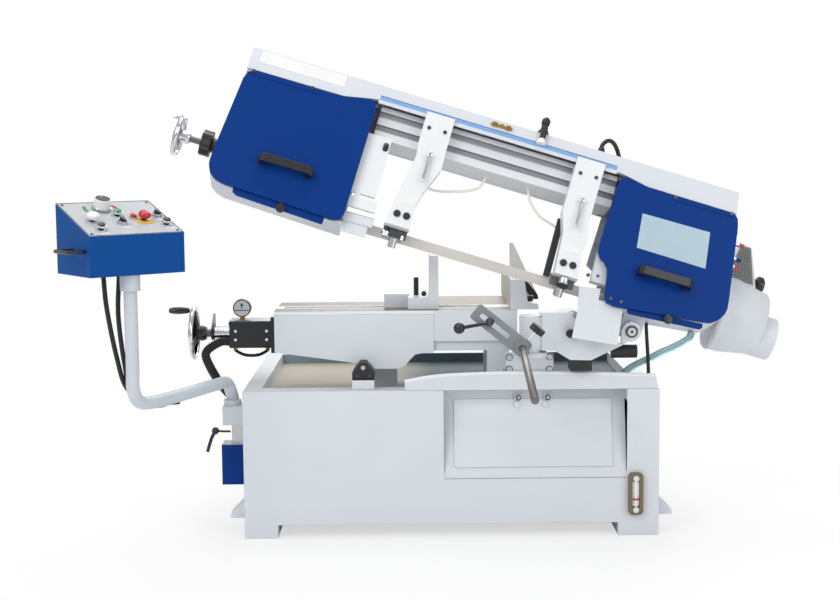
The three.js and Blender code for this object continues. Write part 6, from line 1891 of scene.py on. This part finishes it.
@dataclass
class Pendant:
    """Control pendant on its pipe, with its panel and controls."""

    width: float = 255.0
    depth: float = 199.3
    caps: tuple[tuple[str, float, float, Finish], ...] = (
        ("cycle_button", -2.5, 109.6, GREEN), ("pump_button", -81.6, 33.9, BLACK),
        ("lower_button", 102.0, 47.8, BLACK),
    )
    mushrooms: tuple[tuple[str, float, float, Finish], ...] = (
        ("start_mushroom", -81.6, 83.7, WHITE), ("emergency_stop", 56.1, 79.7, RED),
    )
    selectors: tuple[tuple[str, float, float], ...] = (
        ("jaw_selector", -10.2, 63.8), ("mode_selector", 102.0, 99.6),
    )
    lamp: Flat = (34.0, 94.0)
    dial_spot: Flat = (-25.5, 153.4)
    arc: Flat = (38.0, 47.0)
    arc_steps: int = 10
    stem_size: Flat = (-5.8, 5.9)

    def pipe(self) -> None:
        """Dresses the bracket and the valve box, and makes the pipe and the valve's lever."""
        clad("pendant_bracket", MACHINE, GREY, 1.2)
        clad("valve_box", MACHINE, self.valve, 1.5)
        low, start, top = 415.0, 320.3, 366.0
        route = [
            (0, 0, start), (0, 0, 343), (0, 0, top), (0, 0, top + 8), (0.06, 0.06, low), (0.2, 0.2, low + 3),
            (0.5, 0.5, low), (0.82, 0.82, low), (0.95, 0.95, low + 11.5), (1, 1, low + 46), (1, 1, low + 92),
            (1, 1, 588), (1, 1, 718),
        ]
        points = [(-598 - 197 * u, 99 - 379 * v, z) for u, v, z in route]
        pipe = Shape(MACHINE).dress(PIPE).tube(points, 16.6, 36, 10)
        pipe.finish("pendant_pipe_tube", "pipe", 0.0, 60, stands_for=["pendant_pipe"])
        lever = Shape(MACHINE).dress(BLACK)
        lever.rod((-600, 60, 284), (-640, 56, 286), 3.0, sides=16)
        lever.lathe([(0, 0), (9, 0), (10, 3), (9, 14), (6, 18), (0, 18)], (-641, 62, 287), FRONT, 24)
        lever.tube([(-641, 50, 286), (-649, 46, 272), (-656, 44, 252), (-662, 44, 232)], 4.6, 16)
        lever.finish("valve_lever", "base")

    def valve(self, middle: Vector, normal: Vector) -> Finish:
        """Returns the blue of the lower valve box and bare metal above."""
        return BLUE if middle.z < 246.5 else SILVER

    def box(self) -> None:
        """Dresses the box with its collar and side handle, and edges and screws its panel."""
        inverse = (PANEL.inverted() @ BOX).to_3x3()

        def choose(middle: Vector, normal: Vector) -> Finish:
            """Returns the finish of a face of the box."""
            spot = PANEL.inverted() @ (BOX @ middle)
            facing = (inverse @ normal).normalized().z
            if middle.z < -0.5:
                return PIPE
            if middle.x < -120.6:
                return BLACK
            if spot.z > 0.4:
                return CHROME
            if spot.z > -1 and facing > 0.9:
                return PANEL_GREY
            return PANEL_BLUE

        clad("pendant_box", BOX, choose, 1.2)
        edge = Shape(PANEL).dress(BLACK)
        half, deep = self.width / 2 - 1, self.depth - 1.4
        for low, high in (
            ((-half, 1.2, -1), (half, 3.6, 0.5)), ((-half, deep - 2.4, -1), (half, deep, 0.5)),
            ((-half, 1.2, -1), (-half + 2.4, deep, 0.5)), ((half - 2.4, 1.2, -1), (half, deep, 0.5)),
        ):
            edge.block(low, high)
        edge.finish("panel_edge", "box")
        screws(
            "panel_screws", "box", PANEL,
            [(s * (half - 11), y, 0.8) for s in (-1, 1) for y in (12, deep - 12)], UP, 3.4, 1.6,
        )

    def stem(self, x: float, y: float, top: float) -> Shape:
        """Starts a control on the panel with its black stem, up to a height."""
        low, radius = self.stem_size
        return Shape(PANEL).dress(BLACK).disc([(0, low), (radius, low), (radius, top), (0, top)], x, y, 24)

    def dial(self) -> None:
        """Makes the feed dial and the coloured arcs round it."""
        x, y = self.dial_spot
        knob = self.stem(x, y, 5)
        knob.dress(CHROME).disc([(0, 4.4), (24.4, 4.4), (24.4, 7), (23, 8.4), (0, 8.4)], x, y, 48)
        knob.dress(WHITE).disc([(0, 8.2), (21, 8.2), (20.8, 28.6), (19.8, 29.5), (0, 29.5)], x, y, 48)
        knob.dress(DARK).disc([(0, 29.2), (18.6, 29.2), (18.4, 29.9), (0, 29.9)], x, y, 40)
        knob.dress(WHITE).block((x - 0.8, y + 6, 29.5), (x + 0.8, y + 14, 29.95))
        knob.finish("feed_knob", "dial", stands_for=["feed_dial"])
        for finish, start, end in ((GREEN, 196, 152), (YELLOW, 60, 32), (RED, 30, -34)):
            arc = Shape(PANEL).dress(finish)
            steps = self.arc_steps
            angles = [math.radians(start + (end - start) * k / steps) for k in range(steps + 1)]
            inner, outer = self.arc
            outline = [(x + inner * math.cos(a), y + inner * math.sin(a)) for a in angles]
            outline += [(x + outer * math.cos(a), y + outer * math.sin(a)) for a in reversed(angles)]
            arc.prism(outline, 0.1, 0.7, Axis.Z)
            arc.finish(f"dial_arc_{start}", "box")

    def buttons(self) -> None:
        """Makes the buttons, mushrooms and selectors."""
        for name, x, y, finish in self.caps:
            cap = self.stem(x, y, 9)
            cap.dress(CHROME).disc([(0, 8.4), (11.4, 8.4), (11.4, 12.4), (10.2, 13), (0, 13)], x, y, 36)
            cap.dress(finish).disc(
                [(0, 12.6), (9.4, 12.6), (9.4, 16.2), (8.6, 17.1), (6, 17.1), (5, 16.6), (0, 16.4)], x, y, 36,
            )
            cap.finish(f"{name}_cap", name, stands_for=[name])
        for name, x, y, finish in self.mushrooms:
            cap = self.stem(x, y, 9)
            cap.dress(finish).disc([
                (0, 8.4), (13, 8.4), (13.6, 9.4), (15.8, 13.4), (16.2, 17), (15, 20), (11.6, 23), (6, 24.2),
                (0, 24.3),
            ], x, y, 40)
            cap.finish(f"{name}_cap", name, stands_for=[name])
        for name, x, y in self.selectors:
            cap = self.stem(x, y, 5)
            cap.dress(CHROME).disc([(0, 4.6), (12, 4.6), (12, 8), (11, 9), (0, 9)], x, y, 36)
            cap.dress(BLACK).disc([(0, 8.8), (9.4, 8.8), (9.4, 10.4), (0, 10.4)], x, y, 36)
            cap.dress(BLACK).block((x - 3.5, y - 10.6, 5), (x + 3.5, y + 10.6, 15.9))
            cap.dress(WHITE).block((x - 0.7, y + 3, 15.4), (x + 0.7, y + 10.4, 16))
            cap.finish(f"{name}_cap", name, 0.0, stands_for=[name])
        self.rings()

    def rings(self) -> None:
        """Makes the yellow ring, the red lamp and the bare plates on the panel."""
        ring = Shape(PANEL).dress(YELLOW)
        x, y = self.mushrooms[1][1:3]
        ring.disc(
            [(15.2, 0.2), (24, 0.2), (24, 1.6), (23, 2.2), (15.2, 2.2), (15.2, 0.2)], x, y, 48,
        )
        ring.finish("stop_ring", "box")
        lamps = Shape(PANEL)
        x, y = self.lamp
        lamps.dress(SILVER).disc(
            [(0, -0.6), (11, -0.6), (11, 3), (9.6, 4), (0, 4)], x, y, 32,
        )
        lamps.dress(RED).disc(
            [(0, 3.6), (8.4, 3.6), (8.4, 9), (6.4, 11), (0, 11.6)], x, y, 32,
        )
        for _, x, y, *_ in (*self.caps, *self.selectors):
            lamps.dress(PLATE).block((x - 11, y - 23, -0.4), (x + 11, y - 17, 0.5))
        lamps.finish("panel_lamps", "box")

    def cables(self) -> None:
        """Makes the black cables that leave the box beside the pipe."""
        runs = (
            (
                (-864, -262, 742), (-858, -262, 660), (-838, -260, 540), (-814, -258, 458),
                (-772, -176, 407), (-716, -84, 392),
            ),
            (
                (-826, -258, 742), (-830, -262, 640), (-818, -262, 520), (-804, -262, 462),
                (-764, -170, 399), (-712, -74, 400),
            ),
        )
        cables = Shape(MACHINE).dress(RUBBER)
        for run in runs:
            cables.tube(run, 6.0, 16)
        cables.finish("pendant_cables", "pipe")

    def build(self) -> None:
        """Builds the pendant."""
        self.pipe()
        self.box()
        self.dial()
        self.buttons()
        self.cables()


@dataclass
class Lines:
    """Hoses and cables: vise hose, ribbed conduit, drain hose and bow cable."""

    drain_radius: float = 9.7
    cable_radius: float = 4.8

    def vise_hose(self) -> None:
        """Makes the hose that loops under the vise cylinder."""
        route = [
            (-600.3, 211.5, 499), (-600.3, 211.5, 486), (-573, 211.5, 472.2), (-537, 211.5, 472.2),
            (-510.3, 211.5, 486), (-510.3, 211.5, 499),
        ]
        hose = Shape(MACHINE).dress(RUBBER).tube(route, 4.4, 20)
        hose.finish("vise_hose_loop", "base", stands_for=["vise_hose"])

    def conduit(self) -> None:
        """Makes the ribbed conduit from the vise to the pendant bracket."""
        start_x, end_y, low, high = -609.6, 134.3, 333.0, 516.4
        drop, back = start_x - 65, 164.0
        points = [
            (start_x, back, high), (start_x - 26, back, high), (drop, back - 13, high - 26),
            (drop + 6.5, back - 13, (2 * high + low) / 3), ((drop - 598) / 2, back, (high + 2 * low) / 3),
            (-598, back, low + 13), (-598, (back + end_y) / 2, low), (-598, end_y, low),
        ]
        line = smooth_line(points, 12)
        carrier = points_mesh("conduit_line", MACHINE, [(tuple(p), RIGHT) for p in line], True)
        RIBS.apply("ribbed_conduit", "base", carrier, {
            "Pitch": 0.0055, "Rib radius": 0.0124, "Core radius": 0.0108, "Finish": RUBBER.material(),
        }, ["conduit"])

    def hanging(self, node: str, names: tuple[str, str], finish: Finish, radius: float, sides: int) -> None:
        """Makes a line that hangs from the bow to the cabinet, in two lengths that meet at the swivel arm.

        Args:
            node: Node whose middle line it follows.
            names: Names of the upper and the lower length.
            finish: Finish of the line.
            radius: Its radius in millimetres.
            sides: Number of points in one ring of the node's mesh.
        """
        line = self.middle_line(node, sides)
        half = len(line) // 2
        for name, part, pair in (
            (names[0], line[:half + 1], ("bow", "swivel")), (names[1], line[half:], ("swivel", "base")),
        ):
            shape = Shape(MACHINE).dress(finish).tube([tuple(p) for p in part], radius, 24, 3)
            piece = shape.piece(name)
            tuple(MACHINE @ part[0])
            tuple(MACHINE @ part[-1])
            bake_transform(piece)
            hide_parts(node)
            LOG.info("%s bends between %s and %s", name, *pair)

    def middle_line(self, node: str, sides: int) -> list[Vector]:
        """Finds the middle line of a tube node from its rings, highest end first.

        Args:
            node: Name of the node.
            sides: Number of points in one ring.

        Returns:
            Points along the middle line in the machine's millimetres.
        """
        copy = bmesh.new()
        copy.from_mesh(NODES[node].data)
        bmesh.ops.remove_doubles(copy, verts=copy.verts, dist=MERGE_GAP * METRES)
        inverse = MACHINE.inverted()
        copy.verts.ensure_lookup_table()
        top = max(copy.verts, key=lambda v: v.co.z)
        seen: set[int] = set()
        level = {v.index for v in sorted(copy.verts, key=lambda v: (v.co - top.co).length)[:sides]}
        line = []
        while level:
            seen |= level
            spots = [copy.verts[i].co for i in level]
            line.append(inverse @ (sum(spots, Vector()) / len(spots)))
            near = {e.other_vert(copy.verts[i]).index for i in level for e in copy.verts[i].link_edges}
            level = near - seen
        copy.free()
        return line

    def build(self) -> None:
        """Builds the hoses and cables."""
        self.vise_hose()
        self.conduit()
        self.hanging("drain_hose", ("drain_hose_upper", "drain_hose_lower"), COOLANT, self.drain_radius, 10)
        self.hanging("bow_cable", ("bow_cable_upper", "bow_cable_lower"), RUBBER, self.cable_radius, 8)


@dataclass
class Studio:
    """Camera, floor and soft lights."""

    eye: Point = (-98.75, -3801.0, 1056.28)
    yaw: float = 0.0045998
    pitch: float = -0.1074285
    roll: float = -0.00825545
    focal: float = 1437.259
    image_width: float = 840.0
    sensor: float = 36.0
    aim: Point = (0.0, 0.1, 0.6)

    def camera(self) -> None:
        """Sets the camera at the photograph's angle."""
        ahead = Vector((
            math.sin(self.yaw) * math.cos(self.pitch), math.cos(self.yaw) * math.cos(self.pitch),
            math.sin(self.pitch),
        ))
        right = Vector((math.cos(self.yaw), -math.sin(self.yaw), 0))
        up = right.cross(ahead)
        side = right * math.cos(self.roll) + up * math.sin(self.roll)
        rise = up * math.cos(self.roll) - right * math.sin(self.roll)
        data = bpy.data.cameras.new("view")
        data.sensor_width = self.sensor
        data.lens = self.focal * self.sensor / self.image_width
        data.clip_end = 100.0
        camera = put("view", data)
        turn = Matrix((side, rise, -ahead)).transposed().to_4x4()
        camera.matrix_world = Matrix.Translation(MACHINE @ Vector(self.eye)) @ turn
        bpy.context.scene.camera = camera

    def floor(self) -> None:
        """Makes the pale floor."""
        mesh = bpy.data.meshes.new("floor")
        mesh.from_pydata([(-30, -30, 0), (30, -30, 0), (30, 30, 0), (-30, 30, 0)], [], [(0, 1, 2, 3)])
        skin = Skin("floor_white")
        graph = skin.graph
        skin.set("Base Color", (0.86, 0.86, 0.86, 1.0))
        skin.set("Roughness", 0.9)
        rays = graph.node("ShaderNodeLightPath")
        glow = graph.node("ShaderNodeEmission", None, {"Color": (1.0, 1.0, 1.0, 1.0), "Strength": 1.0})
        seen = Value(graph, rays.outputs["Is Camera Ray"])
        away = graph.node("ShaderNodeVectorMath", {"operation": "LENGTH"}, {0: skin.place})
        far = (graph.value(away, "Value") - 0.5) * 0.35
        share = graph.node("ShaderNodeClamp", None, {"Value": far + 0.6, "Min": 0.6, "Max": 1.0})
        mixed = graph.node("ShaderNodeMixShader", None, {
            0: seen * graph.value(share), 1: skin.shader.outputs[0], 2: glow.outputs[0],
        })
        output = next(n for n in graph.tree.nodes if n.bl_idname == "ShaderNodeOutputMaterial")
        graph.tree.links.new(mixed.outputs[0], output.inputs[0])
        mesh.materials.append(skin.material)
        put("floor", mesh)

    def lights(self) -> None:
        """Sets the soft lamps and the white surroundings."""
        for name, spot, size, power in (
            ("key", (-2.6, -3.4, 3.6), 2.6, 95.0), ("fill", (3.2, -3.2, 2.2), 2.6, 48.0),
            ("top", (0.0, 0.4, 4.4), 3.2, 70.0), ("rear", (0.4, 4.0, 2.6), 2.6, 60.0),
        ):
            data = bpy.data.lights.new(name, "AREA")
            data.size = size
            data.energy = power
            lamp = put(name, data)
            way = Vector(self.aim) - Vector(spot)
            lamp.matrix_world = Matrix.Translation(spot) @ way.to_track_quat("-Z", "Y").to_matrix().to_4x4()
        world = bpy.data.worlds.new("surroundings")
        bpy.context.scene.world = world
        world.use_nodes = True
        graph = Graph(world.node_tree)
        rays = graph.node("ShaderNodeLightPath")
        seen = Value(graph, rays.outputs["Is Camera Ray"])
        level = seen * 0.45 + 0.55
        back = graph.node("ShaderNodeBackground", None, {"Color": (1.0, 1.0, 1.0, 1.0), "Strength": level})
        graph.node("ShaderNodeOutputWorld", None, {"Surface": back.outputs[0]})

    def build(self) -> None:
        """Builds the studio."""
        self.camera()
        self.floor()
        self.lights()
        bpy.context.scene.view_settings.view_transform = "Standard"


def main() -> None:
    """Builds the machine's assemblies in order."""
    logging.basicConfig(level=logging.INFO, format="%(message)s")
    Studio().build()
    for part in (Cabinet, Bed, Vise, MitreArm, Bow, Covers, Guides, Tension, Drive, Pendant, Lines):
        LOG.info("building %s", part.__name__)
        part().build()


if __name__ == "__main__":
    main()
